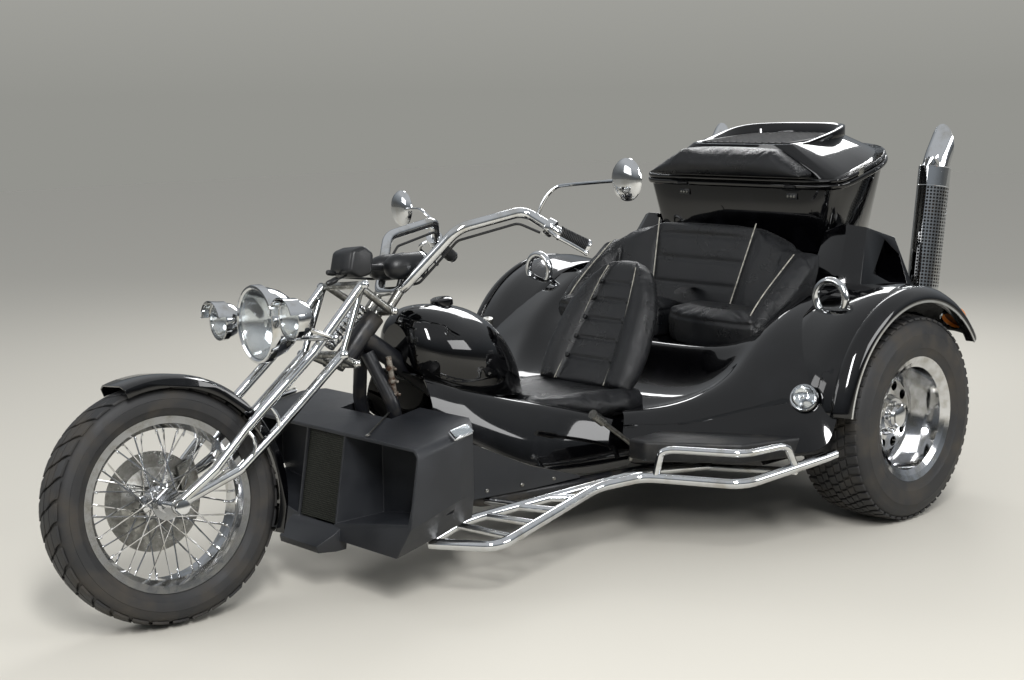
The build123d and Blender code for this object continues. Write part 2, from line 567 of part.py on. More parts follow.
# Headlight with its crossbar, and the two spot lamps on the bar's ends
with BuildPart() as headlight:
    with BuildSketch(Plane((0, 0, 790), x_dir=(1, 0, 0), z_dir=(0, -1, 0))) as bowl:
        Polygon((1830, 0), (1830, 30), (1848, 72), (1888, 100), (1932, 110), (1932, 114), (1952, 114),
                (1956, 108), (1956, 0), align=None)
    revolve(bowl.sketch, Axis((0, 0, 790), (1, 0, 0)))
    tube([(1828, -165, 737), (1828, 165, 737)], 16)
    tube([(1828, 0, 737), (1870, 0, 765)], 30)
    add(fork_legs.part, mode=Mode.SUBTRACT)

with BuildPart() as spot_lamps:
    for side in LEFT_RIGHT:
        with BuildSketch(Plane((0, side * 150, 800), x_dir=(1, 0, 0), z_dir=(0, -1, 0))) as shell:
            Polygon((1892, 0), (1892, 20), (1905, 48), (1935, 60), (1966, 62), (1966, 0), align=None)
        revolve(shell.sketch, Axis((0, side * 150, 800), (1, 0, 0)))
        tube([(1828, side * 150, 737), (1915, side * 150, 775)], 14)
    add(headlight.part, mode=Mode.SUBTRACT)

# Handlebar, grips with levers, mirrors and instruments
GRIP_INNER = (1092, 330, 975)
GRIP_END = (1007, 366, 922)
with BuildPart() as handlebar:
    tube([(1010, 364.7, 923.9), GRIP_INNER, (1148, 245, 1047), (1360, 197, 1011), (1496, 60, 840), (1496, -60, 840),
          (1360, -197, 1011), (1148, -245, 1047), (1092, -330, 975), (1010, -364.7, 923.9)], BAR_TUBE,
         (35, 55, 90, 50, 50, 90, 55, 35))
    add(fork_yoke.part, mode=Mode.SUBTRACT)

with BuildPart() as grips:
    for side in LEFT_RIGHT:
        tube([(1086, side * 332.5, 971.2), (GRIP_END[0], side * GRIP_END[1], GRIP_END[2])], 42)
        tube([(1099, side * 326, 981), (1112, side * 308, 996)], 56)
        tube([(1120, side * 322, 985), (1140, side * 372, 965), (1050, side * 404, 905)], 13, 15)
    add(handlebar.part, mode=Mode.SUBTRACT)

with BuildPart() as mirrors:
    for side in LEFT_RIGHT:
        tube([(1107, side * 262, 1036), (1071, side * 280, 1110), (1058, side * 560, 1108)], 11, 25)
        with BuildSketch(Plane((1060, side * 605, 1106), x_dir=(0, 1, 0), z_dir=(-1, 0, 0))) as dish:
            Circle(62)
        extrude(dish.sketch, amount=26, taper=8)
    add(handlebar.part, mode=Mode.SUBTRACT)

with BuildPart() as gauges:
    side_plate([(1570, 962), (1655, 935), (1668, 952), (1665, 985), (1590, 1005)], -70, 70)
    tube([(1476, -75, 912), (1476, 75, 912)], 84)
    tube([(1476, 0, 900), (1610, 0, 950)], 24)
    for side in LEFT_RIGHT:
        tube([(1476, side * 50, 895), (1498, side * 50, 845)], 14)
    add(handlebar.part, mode=Mode.SUBTRACT)
    add(fork_yoke.part, mode=Mode.SUBTRACT)

# Brake caliper over the disc, on the far fork leg
with BuildPart() as brake_caliper:
    side_plate([(2150, 350), (2205, 350), (2215, 420), (2165, 440)], -84, -44)
    revolved_about_axle(FRONT_AXLE, [(50, -67), (150, -67), (150, -50), (50, -50)], mode=Mode.SUBTRACT)
    tube([(2170, -80, 400), (2150, -112, 420)], 22)
    add(fork_legs.part, mode=Mode.SUBTRACT)

# Cables and brake hose, clipped along the bars and the fork
with BuildPart() as cables:
    tube([(1122, -282, 978), (1160, -228, 1012), (1345, -168, 976), (1470, -96, 880), (1600, -140, 900),
          (1660, -140, 850), (1840, -138, 690), (2060, -138, 515), (2150, -132, 430)], 8, 40)
    tube([(1122, 282, 978), (1160, 228, 1012), (1345, 168, 976), (1440, 84, 860), (1500, 20, 850)], 8, 30)

for piece, label in ((fork_yoke, "fork_yoke"), (fork_legs, "fork_legs"), (fork_springs, "fork_springs"),
                     (front_fender, "front_fender"), (headlight, "headlight"), (spot_lamps, "spot_lamps"),
                     (handlebar, "handlebar"), (grips, "grips"), (mirrors, "mirrors"), (gauges, "gauges"),
                     (brake_caliper, "brake_caliper"), (cables, "cables")):
    finish(piece, label, steered=True)
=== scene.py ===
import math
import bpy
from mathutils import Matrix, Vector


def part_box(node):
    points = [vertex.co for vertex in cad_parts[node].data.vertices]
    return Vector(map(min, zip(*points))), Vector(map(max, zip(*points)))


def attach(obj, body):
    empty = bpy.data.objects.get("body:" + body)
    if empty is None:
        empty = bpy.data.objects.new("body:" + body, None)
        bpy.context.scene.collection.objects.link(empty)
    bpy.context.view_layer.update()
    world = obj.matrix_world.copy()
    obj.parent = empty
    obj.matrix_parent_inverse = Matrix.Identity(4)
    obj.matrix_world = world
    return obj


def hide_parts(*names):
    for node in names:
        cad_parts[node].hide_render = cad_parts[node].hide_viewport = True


bl_info = {
    "name": "Motorized Trike",
    "version": (1, 0, 0),
    "blender": (4, 5, 0),
    "location": "View3D > Sidebar > Trike",
    "description": "Dresses the frame of a three-seat motor trike with its tyres, seats, lamps, paint and chrome",
    "category": "Object",
}

import bpy
from mathutils import Matrix, Vector
from mathutils.geometry import intersect_point_line

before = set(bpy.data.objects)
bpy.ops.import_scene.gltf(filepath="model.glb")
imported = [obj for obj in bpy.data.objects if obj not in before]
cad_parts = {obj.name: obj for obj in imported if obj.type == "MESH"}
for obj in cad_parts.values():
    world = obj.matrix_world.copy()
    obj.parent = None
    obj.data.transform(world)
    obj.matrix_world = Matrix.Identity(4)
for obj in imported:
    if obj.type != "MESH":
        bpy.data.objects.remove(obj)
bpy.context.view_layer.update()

# Places are in metres, measured as the frame's maker did: X forward from the rear axle, Y to the
# rider's left, Z up from the ground. settle() moves them to where the frame stands.
REAR_AXLE_X = sum(corner.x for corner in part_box("rear_tyre_left")) / 2
STEERING_POINT = Vector((1.610, 0, 0.720))
STEERING_RAKE = math.radians(45.6)
PARKED_STEER = math.radians(-9.4)
FRONT_AXLE = Vector((2.290, 0, 0.3331))
REAR_AXLE_Z = 0.3446
REAR_WHEEL_Y = 0.767
SIDES = (("left", 1), ("right", -1))

TO_FRAME = Matrix.Translation((REAR_AXLE_X, 0, 0))
STEERED = (
    Matrix.Translation(STEERING_POINT)
    @ Matrix.Rotation(PARKED_STEER, 4, Vector((-math.sin(STEERING_RAKE), 0, math.cos(STEERING_RAKE))))
    @ Matrix.Translation(-STEERING_POINT)
)


class TrikeColours(bpy.types.PropertyGroup):
    """Colours that a user may change, as sRGB hex text"""

    lacquer: bpy.props.StringProperty(name="Lacquer", description="Body lacquer", default="#030304")
    leather: bpy.props.StringProperty(name="Leather", description="Seat leather", default="#0a0b0d")
    piping: bpy.props.StringProperty(name="Piping", description="Piping and thread", default="#a9a69b")
    panel: bpy.props.StringProperty(name="Panel", description="Radiator cowl", default="#1b1d21")
    rubber: bpy.props.StringProperty(name="Rubber", description="Tyre rubber", default="#212122")


class TrikeSizes(bpy.types.PropertyGroup):
    """Sizes that a user may change"""

    rear_tread_pitches: bpy.props.IntProperty(
        name="Rear tread pitches", description="Tread blocks round a rear tyre", default=58, min=20, max=90)
    front_tread_pitches: bpy.props.IntProperty(
        name="Front tread pitches", description="Slanted sipes round the front tyre", default=34, min=12, max=60)
    spring_turns: bpy.props.IntProperty(
        name="Spring turns", description="Turns of each fork spring", default=8, min=4, max=14)
    pad_rise: bpy.props.FloatProperty(
        name="Pad rise", description="How far a cushion may swell", default=0.014, min=0.0, max=0.03,
        unit="LENGTH")
    stitch: bpy.props.FloatProperty(
        name="Stitch", description="Length of one stitch", default=0.006, min=0.003, max=0.012, unit="LENGTH")


# Finishes


def linear(colour):
    """Turn sRGB hex text into linear red, green, blue and alpha."""
    values = [int(colour[i:i + 2], 16) / 255 for i in (1, 3, 5)]
    return [v / 12.92 if v <= 0.04045 else ((v + 0.055) / 1.055) ** 2.4 for v in values] + [1.0]


def add_node(tree, kind, sockets=None, **settings):
    """Add a shader node with its settings; a socket gets a value, or a link from another node's output."""
    made = tree.nodes.new(kind)
    for name, value in settings.items():
        setattr(made, name, value)
    for name, value in (sockets or {}).items():
        if isinstance(value, bpy.types.NodeSocket):
            tree.links.new(value, made.inputs[name])
        else:
            made.inputs[name].default_value = value
    return made


def new_finish(name, colour, metallic, roughness, **sockets):
    """Make a material with one Principled shader and return it with its tree, shader and coordinates."""
    finish = bpy.data.materials.new(name)
    finish.use_nodes = True
    tree = finish.node_tree
    shader = tree.nodes["Principled BSDF"]
    shader.inputs["Base Color"].default_value = linear(colour)
    shader.inputs["Metallic"].default_value = metallic
    shader.inputs["Roughness"].default_value = roughness
    for socket, value in sockets.items():
        shader.inputs[socket.replace("_", " ")].default_value = value
    place = add_node(tree, "ShaderNodeTexCoord").outputs["Object"]
    return finish, tree, shader, place


def noise(tree, place, scale, detail=4.0, roughness=0.55):
    """Return the factor of a noise pattern with this many cells a metre."""
    cloud = add_node(tree, "ShaderNodeTexNoise", {"Vector": place, "Scale": scale, "Detail": detail,
                                                  "Roughness": roughness})
    return cloud.outputs["Fac"]


def between(tree, factor, low, high, start=0.0, end=1.0):
    """Map a factor from low and high to start and end, held inside them."""
    remap = add_node(tree, "ShaderNodeMapRange", {"Value": factor, "From Min": low, "From Max": high,
                                                  "To Min": start, "To Max": end})
    return remap.outputs["Result"]


def two_tone(tree, shader, factor, first, second):
    """Let the base colour go from first to second with the factor."""
    mix = add_node(tree, "ShaderNodeMix", {0: factor, 6: linear(first), 7: linear(second)}, data_type="RGBA")
    tree.links.new(mix.outputs[2], shader.inputs["Base Color"])


def raise_bumps(tree, shader, height, distance, strength=1.0):
    """Give the shader bumps from a height pattern, the distance in metres."""
    bump = add_node(tree, "ShaderNodeBump", {"Height": height, "Distance": distance, "Strength": strength})
    tree.links.new(bump.outputs["Normal"], shader.inputs["Normal"])


def black_lacquer(colours):
    # Sprayed acrylic lacquer under clear coat: near black, sharp reflections, a faint orange peel of
    # about 4 mm and thin dust that lies in patches and dulls the gloss there
    finish, tree, shader, place = new_finish("black_lacquer", colours.lacquer, 0.0, 0.16,
                                             Coat_Weight=1.0, Coat_Roughness=0.02, Specular_IOR_Level=0.1)
    dust = between(tree, noise(tree, place, 9.0, 8.0), 0.52, 0.78)
    two_tone(tree, shader, dust, colours.lacquer, "#0b0b0e")
    tree.links.new(between(tree, dust, 0.0, 1.0, 0.08, 0.24), shader.inputs["Roughness"])
    raise_bumps(tree, shader, noise(tree, place, 250.0, 1.0), 0.00004, 0.35)
    return finish


def satin_cowl_paint(colours):
    # Satin powder coat on folded sheet: dark grey, a soft broad sheen, grit of about 1 mm and paler
    # rubbed patches
    finish, tree, shader, place = new_finish("satin_cowl_paint", colours.panel, 0.0, 0.48)
    worn = between(tree, noise(tree, place, 6.0, 8.0), 0.45, 0.72)
    two_tone(tree, shader, worn, colours.panel, "#26282c")
    tree.links.new(between(tree, worn, 0.0, 1.0, 0.42, 0.58), shader.inputs["Roughness"])
    raise_bumps(tree, shader, noise(tree, place, 900.0, 2.0), 0.00018, 0.5)
    return finish


def satin_frame_paint(colours):
    # Brushed-on chassis enamel: black with a low sheen, road dust in its hollows
    finish, tree, shader, place = new_finish("satin_frame_paint", "#15161a", 0.0, 0.42)
    dust = between(tree, noise(tree, place, 14.0, 8.0), 0.5, 0.75)
    two_tone(tree, shader, dust, "#141519", "#3a352e")
    tree.links.new(between(tree, dust, 0.0, 1.0, 0.35, 0.8), shader.inputs["Roughness"])
    raise_bumps(tree, shader, noise(tree, place, 500.0, 2.0), 0.0002, 0.4)
    return finish


def bright_chrome(colours):
    # Chromium plate over polished steel: mirror bright, with hand smudges that haze it slightly
    finish, tree, shader, place = new_finish("bright_chrome", "#d6d8da", 1.0, 0.06)
    smudge = between(tree, noise(tree, place, 18.0, 6.0), 0.5, 0.8)
    tree.links.new(between(tree, smudge, 0.0, 1.0, 0.045, 0.16), shader.inputs["Roughness"])
    two_tone(tree, shader, smudge, "#d9dbdd", "#b9b6ae")
    return finish


def polished_alloy(colours):
    # Turned and polished cast aluminium: a little greyer than chrome, with lathe haze
    finish, tree, shader, place = new_finish("polished_alloy", "#cfd0d1", 1.0, 0.1)
    haze = between(tree, noise(tree, place, 25.0, 6.0), 0.45, 0.75)
    tree.links.new(between(tree, haze, 0.0, 1.0, 0.07, 0.2), shader.inputs["Roughness"])
    two_tone(tree, shader, haze, "#d3d4d6", "#a8a69f")
    return finish


def zinc_steel(colours):
    # Zinc-plated steel: grey, half bright, with cloudy patches
    finish, tree, shader, place = new_finish("zinc_steel", "#8f908d", 1.0, 0.32)
    cloud = between(tree, noise(tree, place, 40.0, 6.0), 0.4, 0.7)
    two_tone(tree, shader, cloud, "#9b9b97", "#65625c")
    tree.links.new(between(tree, cloud, 0.0, 1.0, 0.25, 0.5), shader.inputs["Roughness"])
    return finish


def rusty_steel(colours):
    # Bare mild steel with surface rust: brown and grey patches, rough where it has rusted
    finish, tree, shader, place = new_finish("rusty_steel", "#6d6258", 0.6, 0.6)
    rust = between(tree, noise(tree, place, 55.0, 8.0), 0.42, 0.6)
    two_tone(tree, shader, rust, "#8a857c", "#4a3325")
    tree.links.new(between(tree, rust, 0.0, 1.0, 0.4, 0.9), shader.inputs["Roughness"])
    raise_bumps(tree, shader, noise(tree, place, 600.0, 4.0), 0.0003, 0.6)
    return finish


def tyre_rubber(colours):
    # Cured tread rubber: dark grey, matt, with pale dry dust in broad clouds and fine grain
    finish, tree, shader, place = new_finish("tyre_rubber", colours.rubber, 0.0, 0.72)
    dust = between(tree, noise(tree, place, 12.0, 9.0), 0.46, 0.78)
    two_tone(tree, shader, dust, colours.rubber, "#403b34")
    tree.links.new(between(tree, dust, 0.0, 1.0, 0.6, 0.92), shader.inputs["Roughness"])
    raise_bumps(tree, shader, noise(tree, place, 1400.0, 3.0), 0.0002, 0.5)
    return finish


def seat_leather(colours):
    # Grained upholstery leather: black, soft sheen, cells of about 2 mm and slow creases
    finish, tree, shader, place = new_finish("seat_leather", colours.leather, 0.0, 0.4, Sheen_Weight=0.02,
                                             Sheen_Roughness=0.4, Specular_IOR_Level=0.4)
    grain = add_node(tree, "ShaderNodeTexVoronoi", {"Vector": place, "Scale": 620.0}, feature="DISTANCE_TO_EDGE")
    cells = between(tree, grain.outputs["Distance"], 0.0, 0.22)
    crease = noise(tree, place, 38.0, 5.0)
    height = add_node(tree, "ShaderNodeMath", {0: crease, 1: 2.2, 2: cells}, operation="MULTIPLY_ADD")
    raise_bumps(tree, shader, height.outputs["Value"], 0.00035, 0.5)
    rubbed = between(tree, noise(tree, place, 7.0, 5.0), 0.42, 0.7)
    two_tone(tree, shader, rubbed, colours.leather, "#121316")
    tree.links.new(between(tree, rubbed, 0.0, 1.0, 0.27, 0.44), shader.inputs["Roughness"])
    return finish


def sewing_thread(colours):
    # Bonded nylon thread and vinyl piping: pale warm grey, slightly soiled
    finish, tree, shader, place = new_finish("sewing_thread", colours.piping, 0.0, 0.55)
    soil = between(tree, noise(tree, place, 60.0, 4.0), 0.4, 0.7)
    two_tone(tree, shader, soil, colours.piping, "#6e6b62")
    return finish


def moulded_black_plastic(colours):
    # Injection-moulded ABS: black, satin, with a spark-eroded texture of about 1 mm
    finish, tree, shader, place = new_finish("moulded_black_plastic", "#131416", 0.0, 0.38)
    raise_bumps(tree, shader, noise(tree, place, 1100.0, 2.0), 0.00012, 0.4)
    tree.links.new(between(tree, noise(tree, place, 20.0), 0.3, 0.7, 0.3, 0.48), shader.inputs["Roughness"])
    return finish


def grip_rubber(colours):
    # Soft moulded grip rubber: black and matt
    finish, tree, shader, place = new_finish("grip_rubber", "#17181a", 0.0, 0.62)
    raise_bumps(tree, shader, noise(tree, place, 900.0, 2.0), 0.0002, 0.5)
    two_tone(tree, shader, between(tree, noise(tree, place, 30.0), 0.45, 0.75), "#141517", "#2b2a28")
    return finish


def pebbled_step_rubber(colours):
    # Rubber step covering: black, pebbles of about 4 mm, dust caught between them
    finish, tree, shader, place = new_finish("pebbled_step_rubber", "#111214", 0.0, 0.5)
    pebble = add_node(tree, "ShaderNodeTexVoronoi", {"Vector": place, "Scale": 240.0}, feature="SMOOTH_F1")
    raise_bumps(tree, shader, pebble.outputs["Distance"], 0.0012, 0.6)
    dust = between(tree, noise(tree, place, 16.0, 8.0), 0.48, 0.75)
    two_tone(tree, shader, dust, "#101113", "#2e2c29")
    return finish


def radiator_mesh(colours):
    # Radiator core behind wire mesh: dull dark metal in rows of fins, 6 mm apart so that they show, with painted shade
    # in the gaps between the fins and a lighter colour on the fins
    finish, tree, shader, place = new_finish("radiator_mesh", "#23251f", 0.5, 0.6)
    fins = add_node(tree, "ShaderNodeTexWave", {"Vector": place, "Scale": 52.0, "Distortion": 0.6,
                                                "Detail": 2.0, "Detail Scale": 30.0}, bands_direction="Z")
    tubes = add_node(tree, "ShaderNodeTexWave", {"Vector": place, "Scale": 52.0, "Distortion": 0.6,
                                                 "Detail": 2.0, "Detail Scale": 30.0}, bands_direction="Y")
    fin_relief_and_shade = add_node(tree, "ShaderNodeMath", {0: fins.outputs["Fac"], 1: tubes.outputs["Fac"]}, operation="MULTIPLY")
    raise_bumps(tree, shader, fin_relief_and_shade.outputs["Value"], 0.002, 1.0)
    # The colour follows the fin relief: painted shade in the gaps between the fins, lighter on the fins themselves
    two_tone(tree, shader, fin_relief_and_shade.outputs["Value"], "#0c0d0b", "#3e4135")
    return finish


def clear_glass(colours):
    # Pressed lamp glass: clear, with a slight waviness
    finish, tree, shader, place = new_finish("clear_glass", "#f2f5f6", 0.0, 0.02, Transmission_Weight=1.0, IOR=1.5)
    raise_bumps(tree, shader, noise(tree, place, 60.0, 1.0), 0.0003, 0.3)
    return finish


def amber_lens(colours):
    # Tinted acrylic lens: orange, glossy, with prisms of about 5 mm
    finish, tree, shader, place = new_finish("amber_lens", "#c4520c", 0.0, 0.1, Coat_Weight=0.6)
    prisms = add_node(tree, "ShaderNodeTexWave", {"Vector": place, "Scale": 62.0}, bands_direction="Z")
    raise_bumps(tree, shader, prisms.outputs["Fac"], 0.001, 0.5)
    return finish


def red_lens(colours):
    # Tinted acrylic lens: deep red, glossy, with prisms of about 5 mm
    finish, tree, shader, place = new_finish("red_lens", "#7a0a0c", 0.0, 0.1, Coat_Weight=0.6)
    prisms = add_node(tree, "ShaderNodeTexWave", {"Vector": place, "Scale": 62.0}, bands_direction="Y")
    raise_bumps(tree, shader, prisms.outputs["Fac"], 0.001, 0.5)
    return finish


def lamp_reflector(colours):
    # Vacuum-metallised reflector: bright, a little soft
    finish, tree, shader, place = new_finish("lamp_reflector", "#e6e8ea", 1.0, 0.12)
    raise_bumps(tree, shader, noise(tree, place, 90.0, 1.0), 0.0006, 0.3)
    return finish


def mirror_glass(colours):
    # Silvered mirror glass: bright and sharp
    finish, tree, shader, place = new_finish("mirror_glass", "#e3e6e8", 1.0, 0.01)
    return finish


def cast_iron(colours):
    # Oily cast iron: dark, rough
    finish, tree, shader, place = new_finish("cast_iron", "#2b2b2b", 0.7, 0.65)
    two_tone(tree, shader, between(tree, noise(tree, place, 30.0), 0.4, 0.7), "#2b2b2b", "#3a2f26")
    raise_bumps(tree, shader, noise(tree, place, 300.0), 0.0006, 0.6)
    return finish


def belt_webbing(colours):
    # Woven polyester belt: black, ribbed across at about 1.5 mm
    finish, tree, shader, place = new_finish("belt_webbing", "#151516", 0.0, 0.6)
    ribs = add_node(tree, "ShaderNodeTexWave", {"Vector": place, "Scale": 210.0, "Distortion": 1.0})
    raise_bumps(tree, shader, ribs.outputs["Fac"], 0.0005, 0.6)
    return finish


def buckle_red(colours):
    # Glossy moulded plastic push button: red
    finish, tree, shader, place = new_finish("buckle_red", "#8c1410", 0.0, 0.3)
    return finish


def dial_enamel(colours):
    # Printed enamel dial: off-white, smooth
    finish, tree, shader, place = new_finish("dial_enamel", "#c9c6ba", 0.0, 0.4)
    return finish


FINISH_MAKERS = (
    black_lacquer, satin_cowl_paint, satin_frame_paint, bright_chrome, polished_alloy, zinc_steel, rusty_steel,
    tyre_rubber, seat_leather, sewing_thread, moulded_black_plastic, grip_rubber, pebbled_step_rubber,
    radiator_mesh, clear_glass, amber_lens, red_lens, lamp_reflector, mirror_glass, cast_iron, belt_webbing,
    buckle_red, dial_enamel)
NODE_FINISHES = {
    "black_lacquer": ("nose_body", "fuel_tank", "rear_body", "fender_flares", "rear_deck", "trunk_box",
                      "trunk_lid", "front_fender"),
    "satin_cowl_paint": ("radiator_cowl",),
    "satin_frame_paint": ("frame", "rear_axle", "plate_bracket"),
    "cast_iron": ("engine_block",),
    "radiator_mesh": ("radiator_core",),
    "seat_leather": ("driver_seat", "driver_backrest", "rear_cushions", "rear_backrest", "lid_pad"),
    "bright_chrome": ("exhaust_pipes", "stack_shields", "grab_hoops", "step_rails", "fork_legs", "fork_springs",
                      "headlight", "spot_lamps", "handlebar", "mirrors"),
    "zinc_steel": ("fork_yoke", "front_disc", "brake_caliper", "hand_levers"),
    "polished_alloy": ("front_wheel", "rear_wheel_left", "rear_wheel_right"),
    "pebbled_step_rubber": ("step_boards",),
    "grip_rubber": ("grips", "cables"),
    "moulded_black_plastic": ("gauges",),
    "clear_glass": ("clear_lamps",),
    "amber_lens": ("tail_lamps",),
    "tyre_rubber": ("front_tyre", "rear_tyre_left", "rear_tyre_right"),
}


# Modelling by hand, in code


def pick(*pieces):
    """Select these pieces alone, the first of them active."""
    bpy.ops.object.select_all(action="DESELECT")
    for piece in pieces:
        piece.select_set(True)
    bpy.context.view_layer.objects.active = pieces[0]


def edit(piece, how="EDIT"):
    pick(piece)
    bpy.ops.object.mode_set(mode=how)


def trace(name, points):
    """Start a piece as one corner and extrude it from point to point."""
    bpy.ops.object.select_all(action="DESELECT")
    bpy.ops.mesh.primitive_plane_add(size=0.001, location=points[0])
    piece = bpy.context.object
    piece.name = piece.data.name = name
    bpy.ops.object.transform_apply(location=True, rotation=True, scale=True)
    bpy.ops.object.mode_set(mode="EDIT")
    bpy.ops.mesh.merge(type="CENTER")
    bpy.ops.mesh.select_all(action="SELECT")
    for here, there in zip(points, points[1:]):
        step = [b - a for a, b in zip(here, there)]
        bpy.ops.mesh.extrude_region_move(TRANSFORM_OT_translate={"value": step})
    bpy.ops.object.mode_set(mode="OBJECT")
    return piece


def turned(name, profile, centre, axis=(0, 1, 0), steps=48, angle=math.tau, start=0.0):
    """Spin a profile of (radius, along) points round an axis through the centre, from straight up."""
    axis, centre = Vector(axis).normalized(), Vector(centre)
    out = Vector((1, 0, 0)) if abs(axis.z) > 0.9 else Vector((0, 0, 1))
    out = (out - axis * out.dot(axis)).normalized()
    out.rotate(Matrix.Rotation(start, 3, axis))
    piece = trace(name, [centre + out * radius + axis * along for radius, along in profile])
    edit(piece)
    bpy.ops.mesh.select_all(action="SELECT")
    bpy.ops.mesh.spin(steps=steps, angle=-angle, center=centre, axis=axis)
    close_up()
    return piece


def close_up():
    """Merge the doubles of the mesh in edit mode, turn its faces outwards and leave edit mode."""
    bpy.ops.mesh.select_all(action="SELECT")
    bpy.ops.mesh.remove_doubles(threshold=0.00005)
    bpy.ops.mesh.normals_make_consistent(inside=False)
    bpy.ops.object.mode_set(mode="OBJECT")


def ring_of(piece, count, centre, axis=(0, 1, 0), angle=math.tau):
    """Copy a piece's mesh round an axis, spread evenly over the angle."""
    edit(piece)
    bpy.ops.mesh.select_all(action="SELECT")
    last = angle * (count - 1) / count if angle == math.tau else angle
    bpy.ops.mesh.spin(steps=count - 1, dupli=True, angle=-last, center=centre, axis=axis)
    bpy.ops.object.mode_set(mode="OBJECT")
    return piece


def ruled(name, lines, thickness=0.0, closed=False):
    """Bridge lines of the same number of points into one sheet, with a thickness if it has one."""
    pieces = [trace(name, [*line, line[0]] if closed else line) for line in lines]
    piece = join(name, pieces)
    edit(piece)
    bpy.ops.mesh.select_all(action="SELECT")
    bpy.ops.mesh.remove_doubles(threshold=0.00001)
    bpy.ops.mesh.bridge_edge_loops()
    close_up()
    if thickness:
        use(piece, "SOLIDIFY", thickness=thickness, offset=1)
    return piece


def both_sides(piece):
    """Add the mirror image of a piece to it, across the middle of the trike."""
    use(piece, "MIRROR", use_axis=(False, True, False), use_mirror_merge=False)
    return piece


def slab(name, outline, thickness, bevel=0.0, segments=2):
    """Fill an outline of 3-D points and extrude it by the thickness vector."""
    piece = trace(name, outline)
    bpy.ops.object.mode_set(mode="EDIT")
    bpy.ops.mesh.select_all(action="SELECT")
    bpy.ops.mesh.edge_face_add()
    bpy.ops.mesh.select_all(action="SELECT")
    bpy.ops.mesh.extrude_region_move(TRANSFORM_OT_translate={"value": thickness})
    bpy.ops.mesh.select_all(action="SELECT")
    bpy.ops.mesh.normals_make_consistent(inside=False)
    bpy.ops.object.mode_set(mode="OBJECT")
    soften(piece, bevel, segments)
    return piece


def soften(piece, width, segments=2, limit=30):
    """Round a piece's sharp edges with a bevel modifier and apply it."""
    if width > 0:
        use(piece, "BEVEL", width=width, segments=segments, limit_method="ANGLE", angle_limit=math.radians(limit))


def use(piece, kind, **settings):
    """Add a modifier with these settings and apply it."""
    pick(piece)
    modifier = piece.modifiers.new(kind.lower(), kind)
    for name, value in settings.items():
        setattr(modifier, name, value)
    bpy.ops.object.modifier_apply(modifier=modifier.name)


def rod(name, start, end, radius, sides=20, bevel=0.0):
    """Add a round bar between two points, its ends softened when it is given a bevel."""
    start, end = Vector(start), Vector(end)
    run = end - start
    bpy.ops.object.select_all(action="DESELECT")
    bpy.ops.mesh.primitive_cylinder_add(vertices=sides, radius=radius, depth=run.length, location=(start + end) / 2,
                                        rotation=run.to_track_quat("Z", "Y").to_euler())
    piece = bpy.context.object
    piece.name = piece.data.name = name
    bpy.ops.object.transform_apply(location=True, rotation=True, scale=True)
    soften(piece, bevel)
    return piece


def bent_tube(name, points, radius, order=3, resolution=8, sides=3):
    """Add a smooth tube along its control points, as a mesh."""
    curve = bpy.data.curves.new(name, "CURVE")
    curve.dimensions = "3D"
    curve.bevel_depth = radius
    curve.bevel_resolution = sides
    curve.use_fill_caps = True
    curve.resolution_u = resolution
    spline = curve.splines.new("NURBS")
    spline.points.add(len(points) - 1)
    for corner, point in zip(spline.points, points):
        corner.co = (*point, 1)
    spline.order_u = order
    spline.use_endpoint_u = True
    piece = bpy.data.objects.new(name, curve)
    bpy.context.scene.collection.objects.link(piece)
    pick(piece)
    bpy.ops.object.convert(target="MESH")
    return bpy.context.object


def pipe(name, corners, radius, bend=0.055, sides=5):
    """Add a pipe that runs straight between its corners and bends round them over this length."""
    corners = [Vector(corner) for corner in corners]
    way = [corners[0]]
    for before, corner, after in zip(corners, corners[1:], corners[2:]):
        for other in (before, after):
            leg = other - corner
            way.append(corner + leg.normalized() * min(2 * bend, 0.45 * leg.length))
            if other is before:
                way.append(corner)
    return bent_tube(name, [*way, corners[-1]], radius, sides=sides)


def block(outline, low, high, along="y"):
    """Block with an outline as seen along one axis, between two places on it."""
    depth = high - low
    place, run = {"x": (lambda a, b: (low, a, b), (depth, 0, 0)), "y": (lambda a, b: (a, low, b), (0, depth, 0)),
                  "z": (lambda a, b: (a, b, low), (0, 0, depth))}[along]
    return slab("block", [place(a, b) for a, b in outline], run)


def carve(piece, how, *tools):
    """Join, cut or keep the shapes of tools in a piece with boolean modifiers, and delete the tools."""
    for tool in tools:
        use(piece, "BOOLEAN", operation=how, object=tool, solver="EXACT")
        bpy.data.objects.remove(tool)
    return piece


def mirrored(outline):
    """Add the mirror image of an outline of (x, y), across the middle of the trike."""
    return [*outline, *((x, -y) for x, y in reversed(outline))]


def outset(outline, amount):
    """Move the corners of a closed outline of (x, y) out by this much, its edges kept parallel."""
    moved = []
    for before, corner, after in zip((outline[-1], *outline), outline, (*outline[1:], outline[0])):
        ahead, behind = (Vector(after) - Vector(corner)).normalized(), (Vector(corner) - Vector(before)).normalized()
        middle = (ahead + behind).normalized()
        moved.append(Vector(corner) + Vector((middle.y, -middle.x)) * amount / max(0.3, middle.dot(ahead)))
    return moved


def rounded(outline, reach, steps=4):
    """Round the corners of a closed outline of (x, y), each curve starting this far from its corner."""
    points = []
    for before, corner, after in zip((outline[-1], *outline), outline, (*outline[1:], outline[0])):
        corner = Vector(corner)
        legs = [Vector(other) - corner for other in (before, after)]
        start, end = (corner + leg.normalized() * min(reach, 0.45 * leg.length) for leg in legs)
        for part in (i / steps for i in range(steps + 1)):
            points.append(start * (1 - part) ** 2 + corner * 2 * part * (1 - part) + end * part ** 2)
    return points


def join(name, pieces):
    """Join pieces into the first one."""
    pick(*pieces)
    bpy.ops.object.join()
    pieces[0].name = pieces[0].data.name = name
    return pieces[0]


